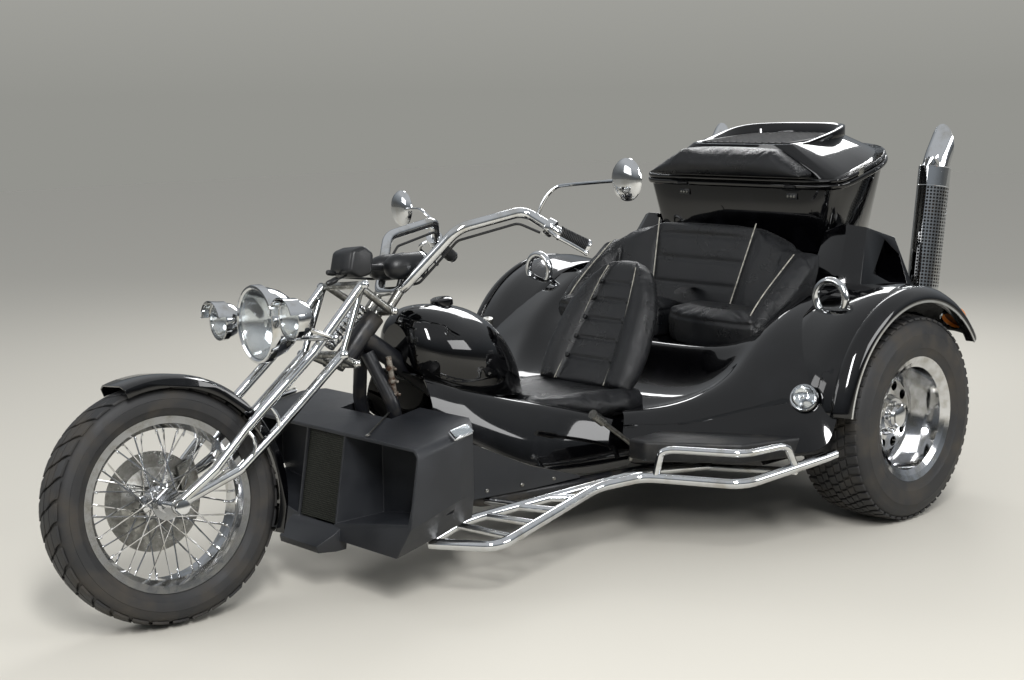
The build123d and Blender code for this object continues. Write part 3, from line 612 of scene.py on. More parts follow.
def settle(piece, body, finish, stands_for=(), smooth=35):
    """Move a piece from its drawn place to the parked trike, dress it and let it ride on its body."""
    move = TO_FRAME @ STEERED if body in ("steering", "front_wheel") else TO_FRAME
    piece.matrix_world = move @ piece.matrix_world
    pick(piece)
    bpy.ops.object.transform_apply(location=True, rotation=True, scale=True)
    if smooth:
        bpy.ops.object.shade_smooth_by_angle(angle=math.radians(smooth))
    piece.data.materials.clear()
    piece.data.materials.append(bpy.data.materials[finish])
    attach(piece, body)
    if stands_for:
        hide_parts(*stands_for)
    return piece


def cad_copy(node, name):
    """Copy a CAD node's shape as a clean mesh, drawn in the rear axle's frame."""
    piece = bpy.data.objects.new(name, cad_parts[node].data.copy())
    bpy.context.scene.collection.objects.link(piece)
    edit(piece)
    bpy.ops.mesh.select_all(action="SELECT")
    bpy.ops.mesh.customdata_custom_splitnormals_clear()
    bpy.ops.mesh.remove_doubles(threshold=0.00002)
    bpy.ops.mesh.dissolve_limited(angle_limit=math.radians(1.0))
    bpy.ops.object.mode_set(mode="OBJECT")
    piece.matrix_world = TO_FRAME.inverted()
    bpy.ops.object.transform_apply(location=True, rotation=True, scale=True)
    return piece


class TRIKE_OT_finishes(bpy.types.Operator):
    """Make every finish and put it on the frame's own nodes"""

    bl_idname = "trike.finishes"
    bl_label = "Finishes"

    def execute(self, context):
        for maker in FINISH_MAKERS:
            maker(context.scene.trike_colours)
        for finish, nodes in NODE_FINISHES.items():
            for node in nodes:
                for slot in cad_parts[node].material_slots:
                    slot.material = bpy.data.materials[finish]
        return {"FINISHED"}


# Tyre walls as (radius, y) from the bead to the middle of the tread, and rows of tread blocks
FRONT_WALL = (
    (0.2320, 0.0430), (0.2425, 0.0465), (0.2440, 0.0560), (0.2530, 0.0640), (0.2630, 0.0690), (0.2640, 0.0704),
    (0.2740, 0.0726), (0.2880, 0.0727), (0.2895, 0.0710), (0.3020, 0.0680), (0.3110, 0.0630), (0.3165, 0.0570),
    (0.3205, 0.0400), (0.3240, 0.0200), (0.3255, 0.0))
REAR_WALL = (
    (0.1945, 0.0930), (0.2070, 0.0985), (0.2090, 0.1150), (0.2200, 0.1195), (0.2360, 0.1232), (0.2375, 0.1248),
    (0.2600, 0.1272), (0.2850, 0.1268), (0.2870, 0.1250), (0.3050, 0.1215), (0.3200, 0.1140), (0.3290, 0.1030),
    (0.3335, 0.0800), (0.3365, 0.0400), (0.3375, 0.0))
FRONT_ROWS = (  # the y of each point across a block, how far it slants at that point, start, length in pitches
    ((0.0025, 0.0110, 0.0200, 0.0300), (0.0, 0.004, 0.010, 0.019), 0.0, 0.87),
    ((0.0330, 0.0430, 0.0530, 0.0605), (0.020, 0.028, 0.034, 0.037), 0.0, 0.82))
REAR_ROWS = (
    ((-0.0130, 0.0130), (0.0, 0.009), 0.0, 0.78), ((0.0170, 0.0410), (0.0, 0.010), 0.5, 0.78),
    ((0.0450, 0.0680), (0.0, 0.009), 0.0, 0.74), ((0.0720, 0.0920, 0.1085), (0.0, 0.004, 0.006), 0.5, 0.68))


def tread(name, centre, radius, drop, half, rows, pitches, height):
    """Model one block of each row on the crown of a tyre and copy it round."""
    pieces = []
    pitch = math.tau / pitches
    for row, (across, slants, start, length) in enumerate(rows):
        for side in (1, -1) if across[0] > 0 else (1,):
            line = []
            for y, slant in zip(across, slants):
                foot = radius - drop * (y / half) ** 2 - height
                turn = slant * side / radius + pitch * (start + length / 2)
                line.append(centre + Vector((foot * math.cos(turn), side * y, foot * math.sin(turn))))
            block = trace(f"{name}_{row}_{side}", line)
            edit(block)
            bpy.ops.mesh.select_all(action="SELECT")
            bpy.ops.mesh.spin(steps=2, angle=-pitch * length, center=centre, axis=(0, 1, 0))
            bpy.ops.mesh.select_all(action="SELECT")
            bpy.ops.mesh.extrude_region_move(TRANSFORM_OT_translate={"value": (height - 0.0004, 0, 0)})
            close_up()
            soften(block, 0.0011, 1)
            pieces.append(ring_of(block, pitches, centre))
    return join(name, pieces)


class TRIKE_OT_tyres(bpy.types.Operator):
    """Lathe the tyre carcasses and set their tread blocks round them"""

    bl_idname = "trike.tyres"
    bl_label = "Tyres"

    def execute(self, context):
        sizes = context.scene.trike_sizes
        round_wall = [*FRONT_WALL, *((r, -y) for r, y in reversed(FRONT_WALL[:-1])), FRONT_WALL[0]]
        carcass = turned("front_carcass", round_wall, FRONT_AXLE, steps=96)
        blocks = tread("front_tread", FRONT_AXLE, 0.332, 0.0083, 0.059, FRONT_ROWS, sizes.front_tread_pitches,
                       0.0075)
        settle(join("front_tyre_tread", [carcass, blocks]), "front_wheel", "tyre_rubber",
               ("front_tyre",))
        round_wall = [*REAR_WALL, *((r, -y) for r, y in reversed(REAR_WALL[:-1])), REAR_WALL[0]]
        for name, side in SIDES:
            centre = Vector((0, side * REAR_WHEEL_Y, REAR_AXLE_Z))
            carcass = turned(f"rear_carcass_{name}", round_wall, centre, steps=96)
            blocks = tread(f"rear_tread_{name}", centre, 0.3446, 0.0086, 0.1095, REAR_ROWS,
                           sizes.rear_tread_pitches, 0.0085)
            settle(join(f"rear_tyre_tread_{name}", [carcass, blocks]), f"rear_wheel_{name}", "tyre_rubber",
                   (f"rear_tyre_{name}",))
        return {"FINISHED"}


class TRIKE_OT_wheels(bpy.types.Operator):
    """Add the spoke nipples, axle nuts, wheel nuts and hub caps"""

    bl_idname = "trike.wheels"
    bl_label = "Wheel fittings"

    def execute(self, context):
        nipples = []
        for side in (1, -1):
            start = FRONT_AXLE + Vector((0.2085, side * 0.0120, 0))
            nipple = rod(f"nipple_{side}", start, start + Vector((-0.016, side * 0.0016, 0)), 0.0034, sides=8)
            soften(nipple, 0.0008, 1)
            if side < 0:
                half_step = math.tau / 40
                nipple.matrix_world = (Matrix.Translation(FRONT_AXLE) @ Matrix.Rotation(-half_step, 4, "Y")
                                       @ Matrix.Translation(-FRONT_AXLE))
                pick(nipple)
                bpy.ops.object.transform_apply(location=True, rotation=True, scale=True)
            nipples.append(ring_of(nipple, 20, FRONT_AXLE))
        settle(join("spoke_nipples", nipples), "front_wheel", "bright_chrome")

        nut = turned("axle_nuts", ((0.0, 0.108), (0.019, 0.108), (0.0215, 0.111), (0.0215, 0.138), (0.019, 0.142),
                                   (0.010, 0.1435), (0.0, 0.1435)), FRONT_AXLE, steps=32)
        settle(both_sides(nut), "steering", "bright_chrome")

        for name, side in SIDES:
            centre = Vector((0, side * REAR_WHEEL_Y, REAR_AXLE_Z))
            face = centre + Vector((0.049, side * 0.029, 0))
            nut = rod(f"wheel_nuts_{name}", face, face + Vector((0, side * 0.017, 0)), 0.0075, sides=6, bevel=0.0012)
            nuts = ring_of(nut, 5, centre)
            cap = turned(f"hub_cap_{name}", ((0.030, side * 0.050), (0.0345, side * 0.0535), (0.0335, side * 0.058),
                                             (0.022, side * 0.0625), (0.0, side * 0.064)), centre, steps=40)
            settle(join(f"wheel_nuts_{name}", [nuts, cap]), f"rear_wheel_{name}", "bright_chrome")
        return {"FINISHED"}


# Coil springs, from the lower links up to the risers
SPRING_FOOT = Vector((1.744, 0.034, 0.708))
SPRING_HEAD = Vector((1.620, 0.034, 0.803))
LINK_BOLTS = (  # x, y of the outer face, z, radius
    (1.656, 0.126, 0.874, 0.013), (1.745, 0.126, 0.679, 0.014), (1.542, 0.091, 0.786, 0.012),
    (1.685, 0.091, 0.646, 0.012))


class TRIKE_OT_fork(bpy.types.Operator):
    """Wind the fork springs and add the fork's bolts, stays and struts"""

    bl_idname = "trike.fork"
    bl_label = "Fork"

    def execute(self, context):
        turns = context.scene.trike_sizes.spring_turns
        run = SPRING_HEAD - SPRING_FOOT
        bpy.ops.object.select_all(action="DESELECT")
        bpy.ops.mesh.primitive_circle_add(vertices=10, radius=0.0042, location=(0.0185, 0, 0),
                                          rotation=(math.pi / 2, 0, 0))
        coil = context.object
        bpy.ops.object.transform_apply(location=True, rotation=True, scale=True)
        use(coil, "SCREW", axis="Z", screw_offset=(run.length - 0.012) / turns, iterations=turns, steps=20,
            render_steps=20, use_merge_vertices=False)
        edit(coil)
        bpy.ops.mesh.select_all(action="SELECT")
        bpy.ops.mesh.fill_holes(sides=0)
        close_up()
        coil.matrix_world = Matrix.Translation(SPRING_FOOT + run.normalized() * 0.006) @ run.to_track_quat(
            "Z", "Y").to_matrix().to_4x4()
        pieces = [coil, rod("spring_guide", SPRING_FOOT, SPRING_HEAD, 0.009, bevel=0.001)]
        for along in (0.0, 0.97):
            seat = SPRING_FOOT + run * along
            pieces.append(rod("spring_seat", seat, seat + run * 0.03, 0.0235, sides=28, bevel=0.001))
        settle(both_sides(join("coil_springs", pieces)), "steering", "bright_chrome", ("fork_springs",))

        bolts = [turned("link_bolt", ((0.0, 0.0), (radius, 0.0), (radius, 0.005), (radius * 0.8, 0.0085),
                                      (radius * 0.4, 0.0105), (0.0, 0.011)), (x, y, z), steps=24)
                 for x, y, z, radius in LINK_BOLTS]
        settle(both_sides(join("link_bolts", bolts)), "steering", "bright_chrome")

        stays = [bent_tube("leg_stay", points, 0.0055) for points in (
            ((1.990, 0.120, 0.560), (1.965, 0.128, 0.530), (1.975, 0.120, 0.495)),
            ((2.072, 0.120, 0.509), (2.035, 0.128, 0.470), (2.068, 0.119, 0.425)))]
        settle(both_sides(join("leg_stays", stays)), "steering", "bright_chrome")

        strut = [rod("neck_strut", (1.571, 0.080, 0.661), (1.547, 0.080, 0.521), 0.0085, bevel=0.001)]
        for along in (0.22, 0.5, 0.78):
            place = Vector((1.571, 0.080, 0.661)).lerp(Vector((1.547, 0.080, 0.521)), along)
            strut.append(rod("strut_clamp", place, place + Vector((-0.0017, 0, -0.0099)), 0.0125, bevel=0.0012))
            strut.append(rod("clamp_bolt", place + Vector((-0.004, 0.008, -0.005)),
                             place + Vector((-0.004, 0.022, -0.005)), 0.0045, sides=6, bevel=0.0006))
        settle(both_sides(join("neck_struts", strut)), "chassis", "rusty_steel")
        return {"FINISHED"}


# Lamps, each turned about its own axis as (radius, along)
HEADLIGHT_SHELL = (
    (0.0, 0.0), (0.030, 0.0015), (0.055, 0.009), (0.078, 0.026), (0.094, 0.050), (0.104, 0.080), (0.1085, 0.100),
    (0.1135, 0.1015), (0.1140, 0.1200), (0.1120, 0.1245), (0.1060, 0.1255), (0.1010, 0.1215), (0.1000, 0.1120))
HEADLIGHT_BOWL = ((0.1015, 0.1150), (0.0920, 0.0900), (0.0700, 0.0650), (0.0400, 0.0500), (0.0, 0.0440))
HEADLIGHT_LENS = ((0.1035, 0.1180), (0.0900, 0.1215), (0.0600, 0.1245), (0.0300, 0.1255), (0.0, 0.1258))
SPOT_SHELL = (
    (0.0, 0.0), (0.016, 0.0005), (0.030, 0.005), (0.042, 0.0145), (0.050, 0.028), (0.0545, 0.044), (0.0560, 0.0500),
    (0.0585, 0.0510), (0.0585, 0.0680), (0.0570, 0.0700), (0.0520, 0.0690), (0.0510, 0.0620))
SPOT_BOWL = ((0.0520, 0.0640), (0.0450, 0.0460), (0.0300, 0.0330), (0.0, 0.0280))
SPOT_LENS = ((0.0530, 0.0650), (0.0400, 0.0680), (0.0200, 0.0695), (0.0, 0.0698))
SPOT_HOOD = (
    (0.0585, 0.0480), (0.0600, 0.0690), (0.0640, 0.0960), (0.0625, 0.0965), (0.0590, 0.0690), (0.0575, 0.0480),
    (0.0585, 0.0480))


class TRIKE_OT_front_lamps(bpy.types.Operator):
    """Turn the headlight and the two hooded spot lamps"""

    bl_idname = "trike.front_lamps"
    bl_label = "Front lamps"

    def execute(self, context):
        ahead = (1, 0, 0)
        place = (1.830, 0, 0.790)
        shell = turned("headlight_shell", HEADLIGHT_SHELL, place, ahead, steps=72)
        post = rod("headlight_post", (1.828, 0, 0.737), (1.870, 0, 0.765), 0.015, bevel=0.002)
        bar = rod("lamp_bar", (1.828, -0.232, 0.737), (1.828, 0.232, 0.737), 0.008, bevel=0.001)
        settle(join("headlight_shell", [shell, post, bar]), "steering", "bright_chrome", ("headlight",))
        bowl = turned("headlight_bowl", HEADLIGHT_BOWL, place, ahead, steps=72)
        bulb = turned("bulb", ((0.0, 0.092), (0.011, 0.090), (0.013, 0.080), (0.009, 0.060), (0.009, 0.045)), place,
                      ahead, steps=24)
        settle(join("headlight_bowl", [bowl, bulb]), "steering", "lamp_reflector")
        lens = turned("headlight_lens", HEADLIGHT_LENS, place, ahead, steps=72)
        use(lens, "SOLIDIFY", thickness=0.0022, offset=-1)
        settle(lens, "steering", "clear_glass")

        place = (1.892, 0.220, 0.802)
        shell = turned("spot_shells", SPOT_SHELL, place, ahead, steps=48)
        hood = turned("spot_hood", SPOT_HOOD, place, ahead, steps=24, angle=math.radians(156),
                      start=math.radians(-78))
        post = rod("spot_post", (1.828, 0.220, 0.737), (1.915, 0.220, 0.775), 0.007, bevel=0.001)
        settle(both_sides(join("spot_shells", [shell, hood, post])), "steering", "bright_chrome",
               ("spot_lamps",))
        bowl = turned("spot_bowls", SPOT_BOWL, place, ahead, steps=48)
        settle(both_sides(bowl), "steering", "lamp_reflector")
        lens = turned("spot_lenses", SPOT_LENS, place, ahead, steps=48)
        use(lens, "SOLIDIFY", thickness=0.0018, offset=-1)
        settle(both_sides(lens), "steering", "clear_glass")
        return {"FINISHED"}


GAUGE_BOX = ((1.572, 0.962), (1.602, 0.988), (1.646, 0.976), (1.664, 0.914), (1.628, 0.892), (1.584, 0.900))
POD = (
    (0.0, 0.0040), (0.0340, 0.0040), (0.0350, 0.0), (0.0395, 0.0005), (0.0400, 0.0040), (0.0400, 0.0700),
    (0.0385, 0.0860), (0.0345, 0.1020), (0.0270, 0.1160), (0.0150, 0.1250), (0.0, 0.1280))
KNOBS = (  # y, x and z at the box, x and z at the tip
    (-0.009, 1.640, 0.906, 1.700, 0.918), (0.009, 1.640, 0.904, 1.714, 0.884))
MIRROR_ARMS = (
    ((1.107, 0.262, 1.036), (1.071, 0.275, 1.112), (1.058, 0.400, 1.112), (1.045, 0.580, 1.106)),
    ((1.132, -0.262, 1.036), (1.162, -0.285, 1.088), (1.110, -0.420, 1.096), (1.045, -0.580, 1.100)))
MIRROR_DOME = (
    (0.0580, 0.0025), (0.0600, 0.0), (0.0620, 0.0020), (0.0620, 0.0060), (0.0560, 0.0145), (0.0420, 0.0215),
    (0.0220, 0.0255), (0.0, 0.0265))


class TRIKE_OT_controls(bpy.types.Operator):
    """Make the instruments, ribbed grips, levers and mirrors on the bars"""

    bl_idname = "trike.controls"
    bl_label = "Controls"

    def execute(self, context):
        box = slab("instrument_box", [(x, -0.062, z) for x, z in GAUGE_BOX], (0, 0.124, 0), bevel=0.012, segments=4)
        tie = rod("instrument_tie", (1.500, 0, 0.914), (1.600, 0, 0.925), 0.010)
        pod = turned("pod", POD, (1.404, 0.046, 0.914), (1, 0, 0), steps=48)
        stalk = rod("pod_stalk", (1.476, 0.050, 0.895), (1.498, 0.050, 0.845), 0.007)
        both_sides(join("pods", [pod, stalk]))
        pods = bpy.data.objects["pods"]
        settle(join("instrument_box", [box, tie, pods]), "steering", "moulded_black_plastic",
               ("gauges",))
        knobs = []
        for y, root_x, root_z, tip_x, tip_z in KNOBS:
            root, tip = Vector((root_x, y, root_z)), Vector((tip_x, y, tip_z))
            knobs.append(rod("knob_stalk", root, tip, 0.003))
            length = (tip - root).length
            knobs.append(turned("knob", ((0.0, length * 0.5), (0.006, length * 0.5), (0.0085, length * 0.62),
                                         (0.0085, length * 0.9), (0.006, length * 0.985), (0.0, length)),
                                root, tip - root, steps=20))
        settle(join("switch_knobs", knobs), "steering", "moulded_black_plastic")
        dial = turned("dials", ((0.0335, 0.0030), (0.0, 0.0030)), (1.404, 0.046, 0.914), (1, 0, 0), steps=40)
        settle(both_sides(dial), "steering", "dial_enamel")
        needle = rod("dial_needles", (1.4055, 0.046, 0.914), (1.4055, 0.062, 0.932), 0.0009, sides=6)
        settle(both_sides(needle), "steering", "buckle_red")
        bezel = turned("dial_bezels", ((0.0335, -0.0005), (0.0355, -0.0025), (0.0400, -0.0020), (0.0412, 0.0010),
                                       (0.0412, 0.0080), (0.0398, 0.0085)), (1.404, 0.046, 0.914), (1, 0, 0), steps=48)
        settle(both_sides(bezel), "steering", "bright_chrome")

        inner, outer = Vector((1.086, 0.3325, 0.9712)), Vector((1.007, 0.366, 0.922))
        length = (outer - inner).length
        ribs = [(0.0165, 0.0), (0.0225, 0.0), (0.0225, 0.004)]
        for rib in range(15):
            along = 0.006 + rib * (length - 0.018) / 15
            ribs += [(0.0178, along), (0.0208, along + 0.0012), (0.0208, along + 0.0040), (0.0178, along + 0.0050)]
        ribs += [(0.0200, length - 0.010), (0.0165, length - 0.008)]
        grip = turned("grip_sleeves", ribs, inner, outer - inner, steps=36)
        settle(both_sides(grip), "steering", "grip_rubber", ("grips",))
        fittings = [
            turned("grip_cap", ((0.0, length - 0.010), (0.0205, length - 0.010), (0.0212, length - 0.003),
                                (0.0190, length + 0.001), (0.0100, length + 0.003), (0.0, length + 0.003)), inner,
                   outer - inner, steps=36),
            rod("switch_housing", (1.1005, 0.3245, 0.9822), (1.1135, 0.3065, 0.9972), 0.0275, sides=36, bevel=0.004),
            bent_tube("hand_lever", ((1.120, 0.322, 0.985), (1.136, 0.352, 0.976), (1.132, 0.378, 0.960),
                                     (1.092, 0.392, 0.934), (1.050, 0.404, 0.905)), 0.0062, resolution=6),
            turned("lever_ball", ((0.0, -0.009), (0.006, -0.0065), (0.009, 0.0), (0.006, 0.0065), (0.0, 0.009)),
                   (1.050, 0.404, 0.905), (-0.8, 0.3, -0.6), steps=20)]
        settle(both_sides(join("bar_fittings", fittings)), "steering", "bright_chrome")

        domes = [turned("mirror_dome", MIRROR_DOME, (1.034, side * 0.605, 1.106), (1, 0, 0), steps=56)
                 for side in (1, -1)]
        arms = [bent_tube("mirror_arm", arm, 0.0055, resolution=10) for arm in MIRROR_ARMS]
        settle(join("mirror_shells", domes + arms), "steering", "bright_chrome", ("mirrors",))
        glass = turned("mirror_glasses", ((0.0590, 0.0020), (0.0, 0.0020)), (1.034, 0.605, 1.106), (1, 0, 0), steps=56)
        settle(both_sides(glass), "steering", "mirror_glass")
        return {"FINISHED"}


def stuff(piece, seams, is_flat, voxel, press=0.004, body="chassis"):
    """Fill a pad as cloth under pressure, held at its seams and its flat side, and press the seams in."""
    use(piece, "REMESH", mode="VOXEL", voxel_size=voxel)
    use(piece, "SMOOTH", factor=0.5, iterations=4)
    rest = [vertex.co.copy() for vertex in piece.data.vertices]
    held = piece.vertex_groups.new(name="held")
    sewn = piece.vertex_groups.new(name="sewn")
    runs = [run for seam in seams for run in zip(seam, seam[1:])]
    for vertex in piece.data.vertices:
        gap = 1.0
        for start, end in runs:
            foot, along = intersect_point_line(vertex.co, start, end)
            foot = start if along < 0 else end if along > 1 else foot
            gap = min(gap, (vertex.co - foot).length)
        if gap < voxel * 0.9 or is_flat(vertex.co):
            held.add([vertex.index], 1.0, "REPLACE")
        if gap < voxel * 2:
            sewn.add([vertex.index], 1 - gap / (voxel * 2), "REPLACE")
    modifier = piece.modifiers.new("filling", "CLOTH")
    modifier.settings.use_pressure = True
    modifier.settings.uniform_pressure_force = 4.0
    modifier.settings.vertex_group_mass = "held"
    modifier.settings.effector_weights.gravity = 0.0
    modifier.point_cache.frame_end = 20
    for moment in range(1, 21):
        bpy.context.scene.frame_set(moment)
    pick(piece)
    bpy.ops.object.modifier_apply(modifier=modifier.name)
    bpy.context.scene.frame_set(1)
    rise = bpy.context.scene.trike_sizes.pad_rise
    for vertex, before in zip(piece.data.vertices, rest):
        moved = vertex.co - before
        if moved.length > rise:
            vertex.co = before + moved * (rise / moved.length)
    use(piece, "SMOOTH", factor=0.5, iterations=2)
    if seams:
        use(piece, "DISPLACE", vertex_group="sewn", strength=-press, mid_level=0.0)
    use(piece, "SUBSURF", levels=1, render_levels=1)
    piece.vertex_groups.clear()
    settle(piece, body, "seat_leather", smooth=60)
    return piece


def capped(piece):
    """Close the open ends of a piece."""
    edit(piece)
    bpy.ops.mesh.select_all(action="SELECT")
    bpy.ops.mesh.fill_holes(sides=0)
    close_up()
    return piece


def piping(name, lines, radius):
    """Lay a round cord of piping along each line."""
    return join(name, [bent_tube(name, line, radius, resolution=6, sides=2) for line in lines])


def stitched(name, lines, stitch, lift):
    """Lay a row of stitches along each run of the lines, lifted off the leather."""
    pieces = []
    for line in lines:
        for start, end in zip(line, line[1:]):
            run = Vector(end) - Vector(start)
            step = run.normalized() * stitch * 1.4
            place = Vector(start) + Vector(lift)
            one = rod(name, place, place + run.normalized() * stitch, 0.0006, sides=6)
            use(one, "ARRAY", count=max(1, int(run.length / step.length)), use_relative_offset=False,
                use_constant_offset=True, constant_offset_displace=step)
            pieces.append(one)
    return join(name, pieces)


# Driver's backrest, in its own leaning plane: u to the left, v up its face, out of the face
BACKREST_PLACE = Matrix.Translation((0.700, 0, 0.470)) @ Matrix((
    (0, -0.508, 0.861, 0), (1, 0, 0, 0), (0, 0.861, 0.508, 0), (0, 0, 0, 1)))
BACKREST_LINES = (  # v, half width, half panel, crest, recess and back out of the face
    (-0.006, 0.208, 0.108, -0.006, -0.024, -0.080),
    (0.050, 0.219, 0.106, -0.004, -0.027, -0.088),
    (0.120, 0.223, 0.102, -0.003, -0.028, -0.088),
    (0.200, 0.214, 0.094, -0.003, -0.028, -0.088),
    (0.280, 0.199, 0.084, -0.004, -0.026, -0.088),
    (0.340, 0.176, 0.075, -0.006, -0.023, -0.086),
    (0.390, 0.146, 0.066, -0.009, -0.022, -0.084),
    (0.428, 0.112, 0.056, -0.016, -0.024, -0.080),
    (0.452, 0.074, 0.040, -0.028, -0.032, -0.072),
    (0.464, 0.032, 0.020, -0.044, -0.045, -0.060),
)
BACKREST_SEAMS = (0.085, 0.158, 0.231, 0.304, 0.368)
SEAT_LINES = (  # x, half width, z underneath, z of the dished middle, z of the crest at the sides
    (0.612, 0.228, 0.374, 0.436, 0.448), (0.700, 0.246, 0.374, 0.432, 0.452), (0.800, 0.232, 0.388, 0.430, 0.453),
    (0.880, 0.208, 0.410, 0.434, 0.455), (0.950, 0.176, 0.430, 0.442, 0.456), (1.000, 0.155, 0.442, 0.449, 0.457),
    (1.035, 0.136, 0.449, 0.453, 0.458), (1.056, 0.120, 0.4535, 0.4555, 0.457))


def half_panel(height):
    """Half width of the backrest's middle panel at a height up its face, and how deep it lies."""
    for low, high in zip(BACKREST_LINES, BACKREST_LINES[1:]):
        if low[0] <= height <= high[0]:
            part = (height - low[0]) / (high[0] - low[0])
            return [low[i] + (high[i] - low[i]) * part for i in (2, 4)]


class TRIKE_OT_driver_seat(bpy.types.Operator):
    """Stuff and sew the driver's bucket seat"""

    bl_idname = "trike.driver_seat"
    bl_label = "Driver's seat"

    def execute(self, context):
        lines = []
        for v, wide, panel, crest, recess, back in BACKREST_LINES:
            half = [(0.0, recess), (panel * 0.92, recess), (panel * 1.06 + 0.004, (crest + recess) / 2),
                    ((panel + wide) / 2, crest), (wide - 0.018, crest - 0.010), (wide, crest - 0.034),
                    (wide, (crest + back) / 2 - 0.014), (wide - 0.022, back + 0.006), (wide * 0.5, back), (0.0, back)]
            loop = half + [(-u, out) for u, out in reversed(half[1:-1])]
            lines.append([BACKREST_PLACE @ Vector((u, v, out)) for u, out in loop])
        back = capped(ruled("driver_backrest_pad", lines, closed=True))
        long_seams = [[BACKREST_PLACE @ Vector((side * panel, v, recess)) for v, _, panel, _, recess, _
                       in BACKREST_LINES[:-1]] for side in (1, -1)]
        cross_seams, crossings = [], []
        for v in BACKREST_SEAMS:
            panel, recess = half_panel(v)
            ends = [BACKREST_PLACE @ Vector((side * panel, v, recess)) for side in (1, -1)]
            crossings += ends
            cross_seams.append(ends)
        into = BACKREST_PLACE.inverted()
        stuff(back, long_seams + cross_seams, lambda place: (into @ place).z < -0.078, 0.0055)
        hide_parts("driver_backrest")

        lines = []
        for x, wide, under, middle, crest in SEAT_LINES:
            half = [(0.0, middle), (wide * 0.55, middle + 0.002), (wide * 0.78, crest - 0.001), (wide * 0.92, crest),
                    (wide, crest - (crest - under) * 0.3), (wide, under + (crest - under) * 0.3),
                    (wide * 0.94, under), (0.0, under)]
            loop = half + [(-y, z) for y, z in reversed(half[1:-1])]
            lines.append([(x, y, z) for y, z in loop])
        seat = capped(ruled("driver_seat_pad", lines, closed=True))
        front_seam = [Vector((x, side * wide * 0.70, middle + 0.004)) for side in (1, -1)
                      for x, wide, under, middle, crest in (SEAT_LINES[:5] if side > 0 else SEAT_LINES[4::-1])]
        stuff(seat, [front_seam], lambda place: place.z < 0.376, 0.0055, press=0.003)
        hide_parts("driver_seat")

        thread = [[BACKREST_PLACE @ Vector((side * (panel + 0.0045), v, recess + 0.0035))
                   for v, _, panel, _, recess, _ in BACKREST_LINES[:-2]] for side in (1, -1)]
        settle(stitched("backrest_stitches", thread, context.scene.trike_sizes.stitch, (0, 0, 0)), "chassis",
               "sewing_thread", smooth=0)
        cords = [[BACKREST_PLACE @ Vector((side * (panel + 0.0080), v, recess + 0.0085))
                  for v, _, panel, _, recess, _ in BACKREST_LINES[:-2]] for side in (1, -1)]
        settle(piping("backrest_piping", cords, 0.0017), "chassis", "sewing_thread")
        out = BACKREST_PLACE.to_3x3() @ Vector((0, 0, 1))
        buttons = [turned("button", ((0.0, 0.0105), (0.005, 0.0100), (0.008, 0.0075), (0.0085, -0.002)), place, out,
                          steps=16) for place in crossings]
        settle(join("seat_buttons", buttons), "chassis", "seat_leather")
        return {"FINISHED"}


# Bench cushions in plan, and the section of the wrap-round backrest as (x, z) at places across it
CUSHION_PLAN = (
    (0.256, 0.022), (0.306, 0.100), (0.333, 0.200), (0.340, 0.310), (0.340, 0.415), (0.330, 0.455), (0.300, 0.470),
    (0.205, 0.472), (0.124, 0.472), (0.122, 0.250), (0.124, 0.022))
CUSHION_LINES = (  # z, scale about the middle
    (0.558, 0.955), (0.575, 0.985), (0.620, 1.0), (0.646, 0.995), (0.652, 0.980), (0.664, 0.985), (0.676, 0.93))
CUSHION_MIDDLE = Vector((0.230, 0.250, 0))
WING = (
    (0.326, 0.562), (0.328, 0.615), (0.314, 0.660), (0.246, 0.728), (0.146, 0.803), (0.062, 0.862), (0.010, 0.870),
    (-0.028, 0.864), (0.004, 0.700), (0.062, 0.562))
BENCH_TOPS = ((0.0, 0.298), (0.115, 0.297), (0.230, 0.290), (0.310, 0.268), (0.378, 0.240))
BENCH_SEAMS = (-0.045, 0.046, 0.138, 0.228)


def on_bench_back(across, up, out=0.0):
    """Point on the bench's backrest, up its leaning face and out of it."""
    return Vector((0.110 - 0.316 * up + 0.949 * out, across, 0.690 + 0.949 * up + 0.316 * out))


